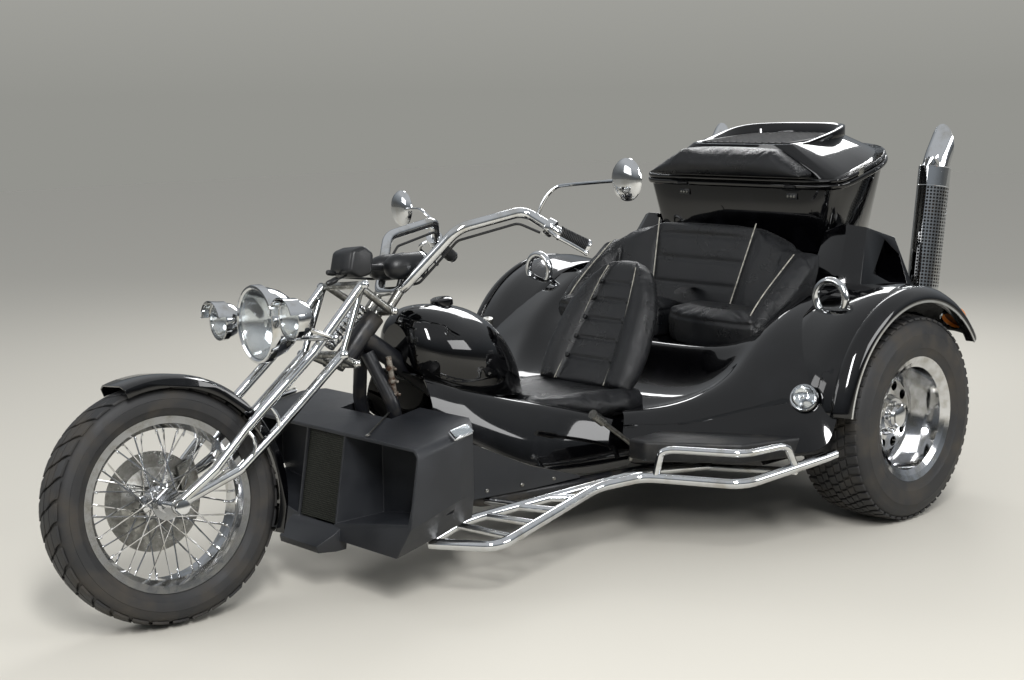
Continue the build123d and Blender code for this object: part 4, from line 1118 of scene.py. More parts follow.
class TRIKE_OT_bench(bpy.types.Operator):
    """Stuff and sew the bench: two cushions and the backrest that wraps round them"""

    bl_idname = "trike.bench"
    bl_label = "Bench"

    def execute(self, context):
        pieces = []
        for name, side in SIDES:
            lines = []
            for z, scale in CUSHION_LINES:
                ring = [CUSHION_MIDDLE + (Vector((x, y, 0)) - CUSHION_MIDDLE) * scale for x, y in CUSHION_PLAN]
                lines.append([(point.x, side * point.y, z) for point in ring])
            cushion = capped(ruled(f"bench_cushion_{name}", lines, closed=True))
            welt = [Vector((x, side * y, 0.651)) for x, y in (*CUSHION_PLAN, CUSHION_PLAN[0])]
            stuff(cushion, [welt], lambda place: place.z < 0.562, 0.006, press=0.005)
            pieces.append(cushion)
        for cushion in pieces:
            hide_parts("rear_cushions")

        lines = []
        for across, top in BENCH_TOPS:
            points = [(-0.128, -0.004), (-0.060, -0.004), (0.030, -0.004), (0.120, -0.004), (top - 0.060, -0.004),
                      (top - 0.014, -0.012), (top, -0.038), (top - 0.014, -0.064), (0.050, -0.074), (-0.128, -0.074)]
            lines.append([on_bench_back(across, up, out) for up, out in points])
        for across, scale in ((0.424, 0.97), (0.436, 1.0), (0.468, 1.0), (0.479, 0.975)):
            middle = Vector((0.110, across, 0.710))
            lines.append([middle + (Vector((x, across, z)) - middle) * scale for x, z in WING])
        whole = [[Vector((x, -y, z)) for x, y, z in line] for line in reversed(lines[1:])] + lines
        back = capped(ruled("bench_backrest_pad", whole, closed=True))
        uprights = [[on_bench_back(side * 0.171, -0.120, -0.004), on_bench_back(side * 0.227, 0.284, -0.006)]
                    for side in (1, -1)]
        channels = []
        for up in BENCH_SEAMS:
            half = 0.171 + 0.056 * (up + 0.120) / 0.404
            channels.append([on_bench_back(half, up, -0.004), on_bench_back(-half, up, -0.004)])
        corners = [[Vector((x, side * 0.427, z)) for x, z in WING[:6]] for side in (1, -1)]
        stuff(back, uprights + channels + corners, lambda place: place.z < 0.565 or place.x < -0.02 and
              abs(place.y) < 0.42 and (place - on_bench_back(0, 0, -0.070)).dot(Vector((0.949, 0, 0.316))) < 0,
              0.0075)
        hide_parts("rear_backrest")

        lines = [[on_bench_back(side * (0.171 + 0.056 * part), -0.120 + 0.404 * part, -0.001)
                  for part in (0.0, 0.33, 0.66, 1.0)] for side in (1, -1)]
        lines += [[Vector((x + 0.003, side * 0.4265, z + 0.003)) for x, z in WING[:6]] for side in (1, -1)]
        settle(piping("bench_piping", lines, 0.0022), "chassis", "sewing_thread")
        return {"FINISHED"}


COWL_SIDE = ((1.490, 0.600), (1.724, 0.600), (1.802, 0.152), (1.556, 0.198), (1.490, 0.215))
COWL_PLAN = ((1.470, 0.317), (1.545, 0.422), (1.600, 0.430), (1.830, 0.430))
COWL_FRONT = ((0.430, 0.100), (0.430, 0.470), (0.4276, 0.4822), (0.4206, 0.4926), (0.4102, 0.4996), (0.398, 0.502))
COWL_CREASE = (1.786, 0.430, 0.241)
SCOOP = ((0.094, 0.198), (0.414, 0.254), (0.420, 0.300), (0.420, 0.436), (0.404, 0.450), (0.094, 0.450))
CHIN = ((1.790, 0.192), (1.866, 0.142), (1.860, 0.122), (1.775, 0.122), (1.770, 0.166))
CORE_SIDE = ((1.715, 0.450), (1.741, 0.450), (1.788, 0.196), (1.762, 0.196))
CORE_HALF_WIDTH = 0.087
NOSE = (  # x, half width and height of the top edge, the same at the fold
    (1.470, 0.118, 0.590, 0.165, 0.455), (1.420, 0.132, 0.570, 0.183, 0.422), (1.360, 0.150, 0.545, 0.205, 0.385),
    (1.260, 0.160, 0.514, 0.225, 0.333), (1.150, 0.170, 0.480, 0.245, 0.285), (1.050, 0.185, 0.455, 0.253, 0.252),
    (0.950, 0.200, 0.430, 0.262, 0.222), (0.840, 0.225, 0.398, 0.276, 0.221), (0.740, 0.250, 0.366, 0.290, 0.222))
SKIRT = (  # x, half width, z of the fold and of the lower edge of the nose body
    (1.470, 0.165, 0.452, 0.207), (1.360, 0.205, 0.382, 0.207), (1.150, 0.245, 0.282, 0.210),
    (0.952, 0.262, 0.221, 0.214))
SKIRT_BOLTS = ((1.310, 0.2165), (1.185, 0.2405), (1.060, 0.2540))


class TRIKE_OT_nose(bpy.types.Operator):
    """Round the edges of the radiator cowl, nose body and front fender, and add what is fixed to them"""

    bl_idname = "trike.nose"
    bl_label = "Nose"

    def execute(self, context):
        cowl = slab("cowl_panels", [(1.470, y, z + 0.0032) for y, z in (*COWL_FRONT,
                                    *((-y, z) for y, z in reversed(COWL_FRONT)))], (0.38, 0, -0.0608))
        carve(cowl, "INTERSECT", block(COWL_SIDE, -0.5, 0.5), block(mirrored(COWL_PLAN), 0.05, 0.65, "z"))
        for side in (1, -1):
            x, y, z = COWL_CREASE
            out = Vector((-0.14, side * 0.86, -0.49)).normalized()
            level = out.cross((0, 0, 1)).normalized() * 0.6
            slope = out.cross(level)
            tuck = slab("tuck", [Vector((x, side * y, z)) + level * a + slope * b
                                 for a, b in ((1, 1), (-1, 1), (-1, -1), (1, -1))], out * 0.3)
            scoop = block([(side * y, z) for y, z in SCOOP], 1.615, 1.900, "x")
            carve(cowl, "DIFFERENCE", tuck, scoop)
        half = CORE_HALF_WIDTH
        carve(cowl, "DIFFERENCE",
              block([(-half, 0.168), (half, 0.168), (half, 0.450), (-half, 0.450)], 1.400, 1.900, "x"),
              block([(-0.124, 0.100), (0.124, 0.100), (0.124, 0.600), (-0.124, 0.600)], 1.400, 1.600, "x"))
        carve(cowl, "UNION", block(CHIN, -0.117, 0.117))
        for side in (1, -1):
            carve(cowl, "DIFFERENCE", block([(1.812, side * 0.118), (1.880, side * 0.084), (1.880, side * 0.118)],
                                            0.100, 0.200, "z"))
        soften(cowl, 0.006, 3)
        settle(cowl, "chassis", "satin_cowl_paint", ("radiator_cowl",))
        core = block(CORE_SIDE, -CORE_HALF_WIDTH, CORE_HALF_WIDTH)
        settle(join("core_mesh", [core]), "chassis", "radiator_mesh", ("radiator_core",))
        stay = [rod("roof_stay", (1.520, 0.045, 0.5015), (1.735, 0.185, 0.4675), 0.0028, sides=10)]
        stay += [turned("stay_eye", ((0.0065, -0.002), (0.0085, 0.0), (0.0065, 0.002), (0.0045, 0.0),
                                     (0.0065, -0.002)), place, (0.16, 0, 1), steps=20)
                 for place in ((1.520, 0.045, 0.5015), (1.741, 0.189, 0.4670))]
        settle(join("roof_stay", stay), "chassis", "zinc_steel")
        seam = [[Vector((1.7235, side * 0.0865, 0.446)), Vector((1.7690, side * 0.0865, 0.200))] for side in (1, -1)]
        settle(stitched("core_rivets", seam, 0.0045, (0.003, 0, 0)), "chassis", "zinc_steel",
               smooth=0)
        bolts = [turned("cowl_bolt", ((0.0, 0.0045), (0.004, 0.004), (0.0065, 0.001), (0.0065, -0.002)), place, axis,
                        steps=16)
                 for place, axis in (((1.742, 0.300, 0.2285), (-0.16, -0.15, 1)),)]
        bolts += [turned("skirt_bolt", ((0.0, 0.0050), (0.0045, 0.0042), (0.0065, 0.0018), (0.0065, -0.002)),
                         (x, y, 0.228), (0.12, 1, 0), steps=16) for x, y in SKIRT_BOLTS]
        settle(both_sides(join("panel_bolts", bolts)), "chassis", "zinc_steel")

        lines = []
        for x, top_half, top, fold_half, fold in NOSE:
            flank = [(fold_half + (top_half - fold_half) * part + 0.016 * math.sin(math.pi * part),
                      fold + (top - fold) * part) for part in (0.0, 0.12, 0.5, 0.88, 1.0)]
            flank.append((top_half * 0.86, top + 0.006))
            half = [(y, z) for y, z in flank]
            lines.append([Vector((x, y, z)) for y, z in (*half, (0.0, top + 0.008), *((-y, z) for y, z in reversed(half)))])
        nose = ruled("nose_panels", lines)
        use(nose, "SUBSURF", levels=2, render_levels=2)
        use(nose, "SOLIDIFY", thickness=0.005, offset=-1)
        settle(nose, "chassis", "black_lacquer", ("nose_body",))
        skirt = ruled("skirt_panels", [[Vector((x, half + 0.0006, top)) for x, half, top, low in SKIRT],
                                       [Vector((x, half + 0.0006, low)) for x, half, top, low in SKIRT]])
        use(skirt, "SOLIDIFY", thickness=0.0016, offset=0)
        settle(both_sides(skirt), "chassis", "satin_cowl_paint")
        fender = cad_copy("front_fender", "front_fender_panel")
        soften(fender, 0.0022, 2)
        fender.matrix_world = STEERED.inverted() @ fender.matrix_world
        settle(fender, "steering", "black_lacquer", ("front_fender",))
        cap = turned("tank_cap", ((0.0, 0.0250), (0.012, 0.0246), (0.029, 0.0226), (0.0345, 0.0190), (0.0355, 0.0120),
                                  (0.0355, 0.0000)), (1.290, 0, 0.780), (0.12, 0, 0.99), steps=48)
        settle(cap, "chassis", "black_lacquer")
        return {"FINISHED"}


TUB_SIDE = (
    (0.740, 0.222), (0.740, 0.366), (0.600, 0.400), (0.500, 0.450), (0.430, 0.522), (0.350, 0.594), (0.250, 0.668),
    (0.130, 0.735), (0.000, 0.767), (-0.130, 0.757), (-0.260, 0.727), (-0.400, 0.686), (-0.520, 0.585),
    (-0.600, 0.470), (-0.600, 0.300), (-0.440, 0.222))
TUB_PLAN = ((0.740, 0.250), (0.600, 0.380), (0.466, 0.606), (-0.620, 0.606))
BENCH_CUT = ((0.800, 0.375), (0.540, 0.375), (0.395, 0.500), (0.385, 0.555), (-0.090, 0.555), (-0.090, 0.900), (0.800, 0.900))
TUB_HOLLOW_SIDE = (
    (0.800, 0.150), (0.800, 0.340), (0.600, 0.370), (0.532, 0.368), (0.388, 0.492), (0.378, 0.550), (-0.096, 0.550),
    (-0.096, 0.700), (-0.260, 0.700), (-0.395, 0.676), (-0.512, 0.577), (-0.594, 0.460), (-0.594, 0.150))
TUB_HOLLOW_PLAN = ((0.900, 0.096), (0.735, 0.244), (0.595, 0.373), (0.460, 0.600), (-0.594, 0.600))
FENDER = (  # radius, y
    (0.3885, 0.604), (0.424, 0.604), (0.4275, 0.640), (0.4325, 0.690), (0.4375, 0.735), (0.4405, 0.768),
    (0.4395, 0.800), (0.4345, 0.828), (0.427, 0.850), (0.412, 0.868), (0.407, 0.864), (0.419, 0.846),
    (0.426, 0.826), (0.431, 0.798), (0.432, 0.768), (0.429, 0.735), (0.424, 0.690), (0.419, 0.640),
    (0.416, 0.610), (0.3885, 0.610))
FENDER_LIP = (
    (0.389, 0.866), (0.389, 0.893), (0.393, 0.900), (0.402, 0.900), (0.414, 0.894), (0.426, 0.882),
    (0.436, 0.864), (0.438, 0.852), (0.434, 0.842), (0.424, 0.843), (0.406, 0.850))
SWEEP = (  # from the floor behind the driver's seat out to the foot of the fender, station by station
    ((0.740, 0.000, 0.386), (0.740, 0.120, 0.386), (0.740, 0.210, 0.388), (0.745, 0.250, 0.397),
     (0.755, 0.275, 0.392), (0.790, 0.300, 0.345), (0.810, 0.310, 0.290)),
    ((0.640, 0.000, 0.389), (0.640, 0.150, 0.389), (0.640, 0.300, 0.393), (0.645, 0.355, 0.410),
     (0.655, 0.385, 0.412), (0.690, 0.430, 0.360), (0.715, 0.450, 0.290)),
    ((0.560, 0.000, 0.400), (0.560, 0.200, 0.400), (0.555, 0.370, 0.414), (0.555, 0.425, 0.445),
     (0.560, 0.460, 0.458), (0.600, 0.530, 0.395), (0.630, 0.565, 0.290)),
    ((0.500, 0.000, 0.422), (0.500, 0.220, 0.422), (0.495, 0.400, 0.442), (0.485, 0.462, 0.490),
     (0.490, 0.505, 0.508), (0.535, 0.620, 0.425), (0.560, 0.670, 0.290)),
    ((0.455, 0.000, 0.460), (0.455, 0.240, 0.460), (0.448, 0.420, 0.484), (0.430, 0.480, 0.540),
     (0.432, 0.525, 0.556), (0.490, 0.690, 0.450), (0.515, 0.760, 0.295)),
    ((0.420, 0.000, 0.512), (0.420, 0.250, 0.512), (0.410, 0.430, 0.535), (0.390, 0.492, 0.584),
     (0.388, 0.540, 0.600), (0.455, 0.750, 0.475), (0.480, 0.850, 0.310)),
    ((0.392, 0.000, 0.560), (0.392, 0.250, 0.560), (0.380, 0.440, 0.574), (0.340, 0.499, 0.628),
     (0.335, 0.550, 0.648), (0.418, 0.790, 0.500), (0.440, 0.862, 0.345)),
    ((0.375, 0.000, 0.563), (0.375, 0.250, 0.563), (0.360, 0.445, 0.584), (0.260, 0.500, 0.684),
     (0.250, 0.556, 0.702), (0.352, 0.790, 0.592), (0.405, 0.862, 0.430)),
    ((0.360, 0.000, 0.563), (0.360, 0.250, 0.563), (0.345, 0.446, 0.586), (0.150, 0.500, 0.736),
     (0.130, 0.558, 0.750), (0.250, 0.760, 0.690), (0.360, 0.860, 0.510)))
BUTTRESS_FOOT = ((-0.040, 0.385), (-0.040, 0.520), (-0.090, 0.585), (-0.420, 0.598), (-0.445, 0.560), (-0.445, 0.385))
BUTTRESS_TOP = ((-0.185, 0.385), (-0.185, 0.468), (-0.225, 0.520), (-0.390, 0.530), (-0.402, 0.520), (-0.402, 0.385))
BUTTRESS_WINDOW = ((-0.322, 0.896), (-0.212, 0.786), (-0.290, 0.748), (-0.386, 0.736), (-0.386, 0.838))
TRUNK_FLOOR = ((-0.172, 0.330), (-0.192, 0.392), (-0.420, 0.372), (-0.540, 0.300), (-0.585, 0.150))
TRUNK_RIM = ((0.000, 0.385), (-0.020, 0.458), (-0.300, 0.440), (-0.440, 0.350), (-0.492, 0.180))
TRUNK_LEAN = math.radians(13.6)
STACK_RUN = (
    (-0.430, 0.260, 0.420), (-0.430, 0.400, 0.420), (-0.546, 0.520, 0.440), (-0.584, 0.520, 0.690),
    (-0.652, 0.520, 1.145), (-0.760, 0.520, 1.300))
STEP_RAILS = (  # radius, corners
    (0.0160, ((1.650, 0.345, 0.158), (1.541, 0.515, 0.160), (1.043, 0.429, 0.228), (0.918, 0.506, 0.250),
              (0.764, 0.775, 0.243), (0.439, 0.845, 0.285), (0.405, 0.850, 0.290))),
    (0.0140, ((1.640, 0.335, 0.158), (1.500, 0.328, 0.192), (0.870, 0.450, 0.247), (0.560, 0.470, 0.216))),
    (0.0120, ((0.900, 0.537, 0.250), (0.890, 0.555, 0.341), (0.764, 0.775, 0.338), (0.602, 0.810, 0.345),
              (0.566, 0.818, 0.268))),
    (0.0110, ((1.300, 0.180, 0.190), (1.300, 0.362, 0.206))),
    (0.0120, ((0.560, 0.300, 0.190), (0.560, 0.815, 0.256))))
RUNGS = ((1.540, 1.466), (1.432, 1.358), (1.324, 1.250), (1.216, 1.142))  # x at the inner and outer rail
LIP_RADIUS = 0.3905
FENDER_ENDS = (math.radians(145.5), math.radians(9.0))
BUCKLE = (0.150, 0.404, 0.716)


def on_rim(along, across, up):
    """Point on the leaning plane where the trunk's lid parts from its box."""
    lean, rise = math.cos(TRUNK_LEAN), math.sin(TRUNK_LEAN)
    return Vector((-0.150 + lean * along + rise * up, across, 1.092 - rise * along + lean * up))


class TRIKE_OT_rear_body(bpy.types.Operator):
    """Round the edges of the rear body and step boards and add the fender trims, belts and buckle"""

    bl_idname = "trike.rear_body"
    bl_label = "Rear body"

    def execute(self, context):
        tub = carve(block(TUB_SIDE, -0.700, 0.700), "INTERSECT", block(mirrored(TUB_PLAN), 0.150, 0.950, "z"))
        hollow = carve(block(TUB_HOLLOW_SIDE, -0.700, 0.700), "INTERSECT",
                       block(mirrored(TUB_HOLLOW_PLAN), 0.100, 0.950, "z"))
        carve(tub, "DIFFERENCE", block(BENCH_CUT, -0.490, 0.490), hollow)
        foot = [Vector((x, y, 0.700)) for x, y in BUTTRESS_FOOT]
        top = [Vector((-0.290 + (x + 0.290) * 0.96, y, 0.925 + (x + 0.290) * 0.28)) for x, y in BUTTRESS_TOP]
        buttress = carve(capped(ruled("buttress", [foot, top], closed=True)), "DIFFERENCE",
                         block(BUTTRESS_WINDOW, 0.450, 0.700))
        tub = join("rear_body_panels", [tub, both_sides(buttress)])
        space = capped(ruled("trunk_space", [[Vector((x, y, 0.849)) for x, y in outset(mirrored(TRUNK_FLOOR), 0.002)],
                                             [on_rim(x, y, 0.001) for x, y in outset(mirrored(TRUNK_RIM), 0.002)]],
                             closed=True))
        holes = [rod("stack_hole", (-0.5417, side * 0.520, 0.412), (-0.600, side * 0.520, 0.800), 0.056, sides=32)
                 for side in (1, -1)]
        carve(tub, "DIFFERENCE", space, *holes)
        soften(tub, 0.006, 3)
        arch = [turned("fender", [(radius, y - REAR_WHEEL_Y) for radius, y in (*outline, outline[0])],
                       (0, REAR_WHEEL_Y, REAR_AXLE_Z), steps=60, angle=FENDER_ENDS[0] - FENDER_ENDS[1],
                       start=math.pi / 2 - FENDER_ENDS[0]) for outline in (FENDER, FENDER_LIP)]
        arch = capped(join("fender", arch))
        soften(arch, 0.003, 2, 50)
        sweep = ruled("sweep", [[*((x, -y, z) for x, y, z in line[:0:-1]), *line] for line in SWEEP])
        use(sweep, "SUBSURF", levels=2, render_levels=2)
        use(sweep, "SOLIDIFY", thickness=0.004, offset=0)
        body = join("rear_body_panels", [tub, both_sides(arch), sweep])
        settle(body, "chassis", "black_lacquer", ("rear_body", "fender_flares", "rear_deck"))

        rails = [pipe("rail", corners, radius) for radius, corners in STEP_RAILS]
        inner, outer = STEP_RAILS[1][1][1:3], STEP_RAILS[0][1][1:3]
        for at_inner, at_outer in RUNGS:
            ends = []
            for (start, end), x in ((inner, at_inner), (outer, at_outer)):
                start, end = Vector(start), Vector(end)
                ends.append(start.lerp(end, (x - start.x) / (end.x - start.x)))
            rails.append(rod("rung", *ends, 0.011, sides=16))
        settle(both_sides(join("step_rail_tubes", rails)), "chassis", "bright_chrome", ("step_rails",))
        boards = cad_copy("step_boards", "step_board_pads")
        soften(boards, 0.011, 3)
        settle(boards, "chassis", "pebbled_step_rubber", ("step_boards",))
        ahead, behind = FENDER_ENDS[1], FENDER_ENDS[0]
        trim = turned("fender_trims", ((LIP_RADIUS - 0.0030, 0.1290), (LIP_RADIUS - 0.0030, 0.1326),
                                       (LIP_RADIUS + 0.0060, 0.1326), (LIP_RADIUS + 0.0060, 0.1312),
                                       (LIP_RADIUS - 0.0012, 0.1320), (LIP_RADIUS - 0.0030, 0.1290)),
                      (0, REAR_WHEEL_Y, REAR_AXLE_Z), steps=72, angle=behind - ahead, start=math.pi / 2 - behind)
        settle(both_sides(capped(trim)), "chassis", "bright_chrome")

        strap = []
        for turns in ((0.090, 0.118, 0.150, 0.190, 0.226), (0.096, 0.130, 0.168, 0.200, 0.214)):
            way = [(turns[0], -0.006, 0.722), (turns[1], 0.006, 0.7260), (turns[2], -0.006, 0.7225),
                   (turns[3], 0.016, 0.7170), (turns[4], 0.040, 0.7120)]
            ribbon = ruled("strap", [[Vector((x, y + across + len(strap) * 0.020, z + len(strap) * 0.004))
                                      for x, y, z in way] for across in (-0.022, 0.022)], thickness=0.0014)
            use(ribbon, "SUBSURF", levels=2, render_levels=2)
            strap.append(ribbon)
        settle(join("lap_belts", strap), "chassis", "belt_webbing")
        x, y, z = BUCKLE
        shell = slab("buckle_shell", [(x - 0.030, y - 0.016, z - 0.004), (x + 0.026, y - 0.016, z - 0.010),
                                      (x + 0.026, y + 0.016, z - 0.010), (x - 0.030, y + 0.016, z - 0.004)],
                     (0.002, 0, 0.016), bevel=0.004, segments=3)
        tongue = slab("buckle_tongue", [(x - 0.055, y - 0.010, z), (x - 0.028, y - 0.010, z),
                                        (x - 0.028, y + 0.010, z), (x - 0.055, y + 0.010, z)], (0, 0, 0.0025),
                      bevel=0.0008)
        settle(join("belt_buckle", [shell, tongue]), "chassis", "moulded_black_plastic")
        button = slab("buckle_button", [(x + 0.006, y - 0.011, z + 0.000), (x + 0.0285, y - 0.011, z - 0.003),
                                        (x + 0.0285, y + 0.011, z - 0.003), (x + 0.006, y + 0.011, z + 0.000)],
                      (0.0015, 0, 0.0125), bevel=0.002)
        settle(button, "chassis", "buckle_red")
        return {"FINISHED"}


LID_TOP = ((0.000, 0.185), (-0.030, 0.245), (-0.285, 0.258), (-0.390, 0.205), (-0.435, 0.108))
LID_PAD = ((-0.344, 1.137), (-0.275, 1.178), (-0.206, 1.216), (0.0, 1.219), (0.206, 1.216), (0.275, 1.178),
           (0.344, 1.137))


def on_lid(along, across, up):
    """Point on the trunk lid's top, in its own slightly leaning plane."""
    return Vector((-0.150 + 0.9975 * along + 0.071 * up, across, 1.228 - 0.071 * along + 0.9975 * up))


class TRIKE_OT_trunk(bpy.types.Operator):
    """Round the edges of the trunk and its lid, and add the pad and the ribbed mat"""

    bl_idname = "trike.trunk"
    bl_label = "Trunk"

    def execute(self, context):
        rim, base = rounded(mirrored(TRUNK_RIM), 0.090), rounded(mirrored(TRUNK_FLOOR), 0.070)
        box = capped(ruled("trunk_shell", [[Vector((x, y, 0.850)) for x, y in base], [on_rim(x, y, 0) for x, y in rim]],
                           closed=True))
        carve(box, "DIFFERENCE", capped(ruled("inside", [
            [Vector((x, y, 0.855)) for x, y in outset(base, -0.005)],
            [on_rim(x, y, 0.002) for x, y in outset(rim, -0.005)]], closed=True)))
        carve(box, "UNION", block(mirrored(((-0.220, 0.330), (-0.500, 0.330))), 0.776, 0.852, "z"))
        soften(box, 0.0045, 3, 40)
        bead = slab("rim_bead", [on_rim(x, y, 0) for x, y in outset(rim, 0.012)], on_rim(0, 0, -0.020) - on_rim(0, 0, 0))
        carve(bead, "DIFFERENCE", slab("inside", [on_rim(x, y, 0.010) for x, y in outset(rim, -0.003)],
                                       on_rim(0, 0, -0.040) - on_rim(0, 0, 0)))
        soften(bead, 0.006, 3)
        join("trunk_shell", [box, bead])
        settle(box, "chassis", "black_lacquer", ("trunk_box",))
        crown = rounded(mirrored(LID_TOP), 0.070)
        top = [on_lid(x, y, 0) for x, y in crown]
        middle = sum(top, Vector()) / len(top)
        lid = ruled("trunk_lid_shell", [[on_rim(x, y, 0.001) for x, y in rim], top,
                                        [middle.lerp(corner, 0.02) for corner in top]], closed=True)
        capped(lid)
        carve(lid, "DIFFERENCE", capped(ruled("inside", [
            [on_rim(x, y, -0.002) for x, y in outset(rim, -0.005)],
            [on_lid(x, y, -0.005) for x, y in outset(crown, -0.005)]], closed=True)))
        ring = list(zip(outset(crown, 0.003), outset(crown, 0.005), outset(crown, -0.016), outset(crown, -0.034)))
        loops = []
        for foot, outer, inner, toe in ring:
            part = min(1, max(0, (-0.050 - foot[0]) / 0.330))
            rise = 0.040 * part * part * (3 - 2 * part)
            if rise:
                loops.append([on_lid(*foot, -0.012), on_lid(*outer, rise * 0.9), on_lid(*((outer + inner) / 2), rise),
                              on_lid(*inner, rise * 0.9), on_lid(*toe, -0.002)])
        spoiler = capped(ruled("spoiler", loops, closed=True))
        soften(spoiler, 0.003, 2, 25)
        flange = slab("flange", [on_rim(x, y, 0.0015) for x, y in outset(rim, 0.008)],
                      on_rim(0, 0, 0.016) - on_rim(0, 0, 0))
        carve(flange, "DIFFERENCE", slab("inside", [on_rim(x, y, -0.010) for x, y in outset(rim, -0.004)],
                                         on_rim(0, 0, 0.050) - on_rim(0, 0, 0)))
        soften(flange, 0.006, 3)
        soften(lid, 0.0045, 3, 40)
        join("trunk_lid_shell", [lid, spoiler, flange])
        settle(lid, "trunk_lid", "black_lacquer", ("trunk_lid",))
        outline = [on_lid(x, y, 0.0005) for x, y in outset(crown, -0.030)]
        mat = [slab("lid_mat", outline, (0.0002, 0, 0.0035), bevel=0.001)]
        for index in range(13):
            across = (index - 6) * 0.030
            reach = -0.395 if abs(across) < 0.10 else -0.345 if abs(across) < 0.19 else -0.270
            mat.append(rod("mat_rib", on_lid(-0.034, across, 0.0035), on_lid(reach, across, 0.0035), 0.0036, sides=10))
        settle(join("lid_mat", mat), "trunk_lid", "grip_rubber")
        plates = [slab("hinge_plate", [(-0.1535, 0.251 + y, 1.046 + z) for y, z in
                                       ((-0.024, -0.011), (0.024, -0.011), (0.024, 0.011), (-0.024, 0.011))],
                       (0.0045, 0, 0), bevel=0.0015)]
        plates.append(rod("knuckle", (-0.140, 0.228, 1.080), (-0.140, 0.274, 1.080), 0.0060, sides=14, bevel=0.001))
        settle(both_sides(join("hinge_plates", plates)), "chassis", "moulded_black_plastic")
        bolts = [turned("hinge_bolt", ((0.0, 0.0040), (0.0040, 0.0035), (0.0055, 0.0010), (0.0055, 0.0)),
                        (-0.149, 0.251 + y, 1.046), (1, 0, 0), steps=14) for y in (-0.014, 0.0, 0.014)]
        settle(both_sides(join("hinge_bolts", bolts)), "chassis", "zinc_steel")
        clasp = slab("lid_clasp", [(-0.262, 0.4535, 1.1440), (-0.294, 0.4535, 1.1520), (-0.294, 0.4480, 1.1120),
                                   (-0.262, 0.4480, 1.1040)], (0, 0.009, 0.002), bevel=0.003, segments=3)
        settle(clasp, "trunk_lid", "zinc_steel")
        lines = []
        for across, top in LID_PAD:
            lines.append([Vector((x, across, z)) for x, z in (
                (-0.066, 1.117), (-0.062, (1.117 + top) / 2), (-0.066, top - 0.012), (-0.082, top - 0.002),
                (-0.148, top - 0.003), (-0.148, 1.117))])
        pad = capped(ruled("lid_pad_leather", lines, closed=True))
        stuff(pad, [], lambda place: place.z < 1.121 or place.x < -0.140, 0.0055, body="trunk_lid")
        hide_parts("lid_pad")
        return {"FINISHED"}


STACK_FOOT = Vector((-0.584, 0.520, 0.690))
STACK_TOP = Vector((-0.651, 0.520, 1.137))
SHIELD_RADIUS = 0.0573
HOLE_COLUMNS = 18
HOLE_ROWS = 30
HOLE_PITCH = 0.0122
HOLE_RADIUS = 0.0044
PERFORATED = math.radians(216)


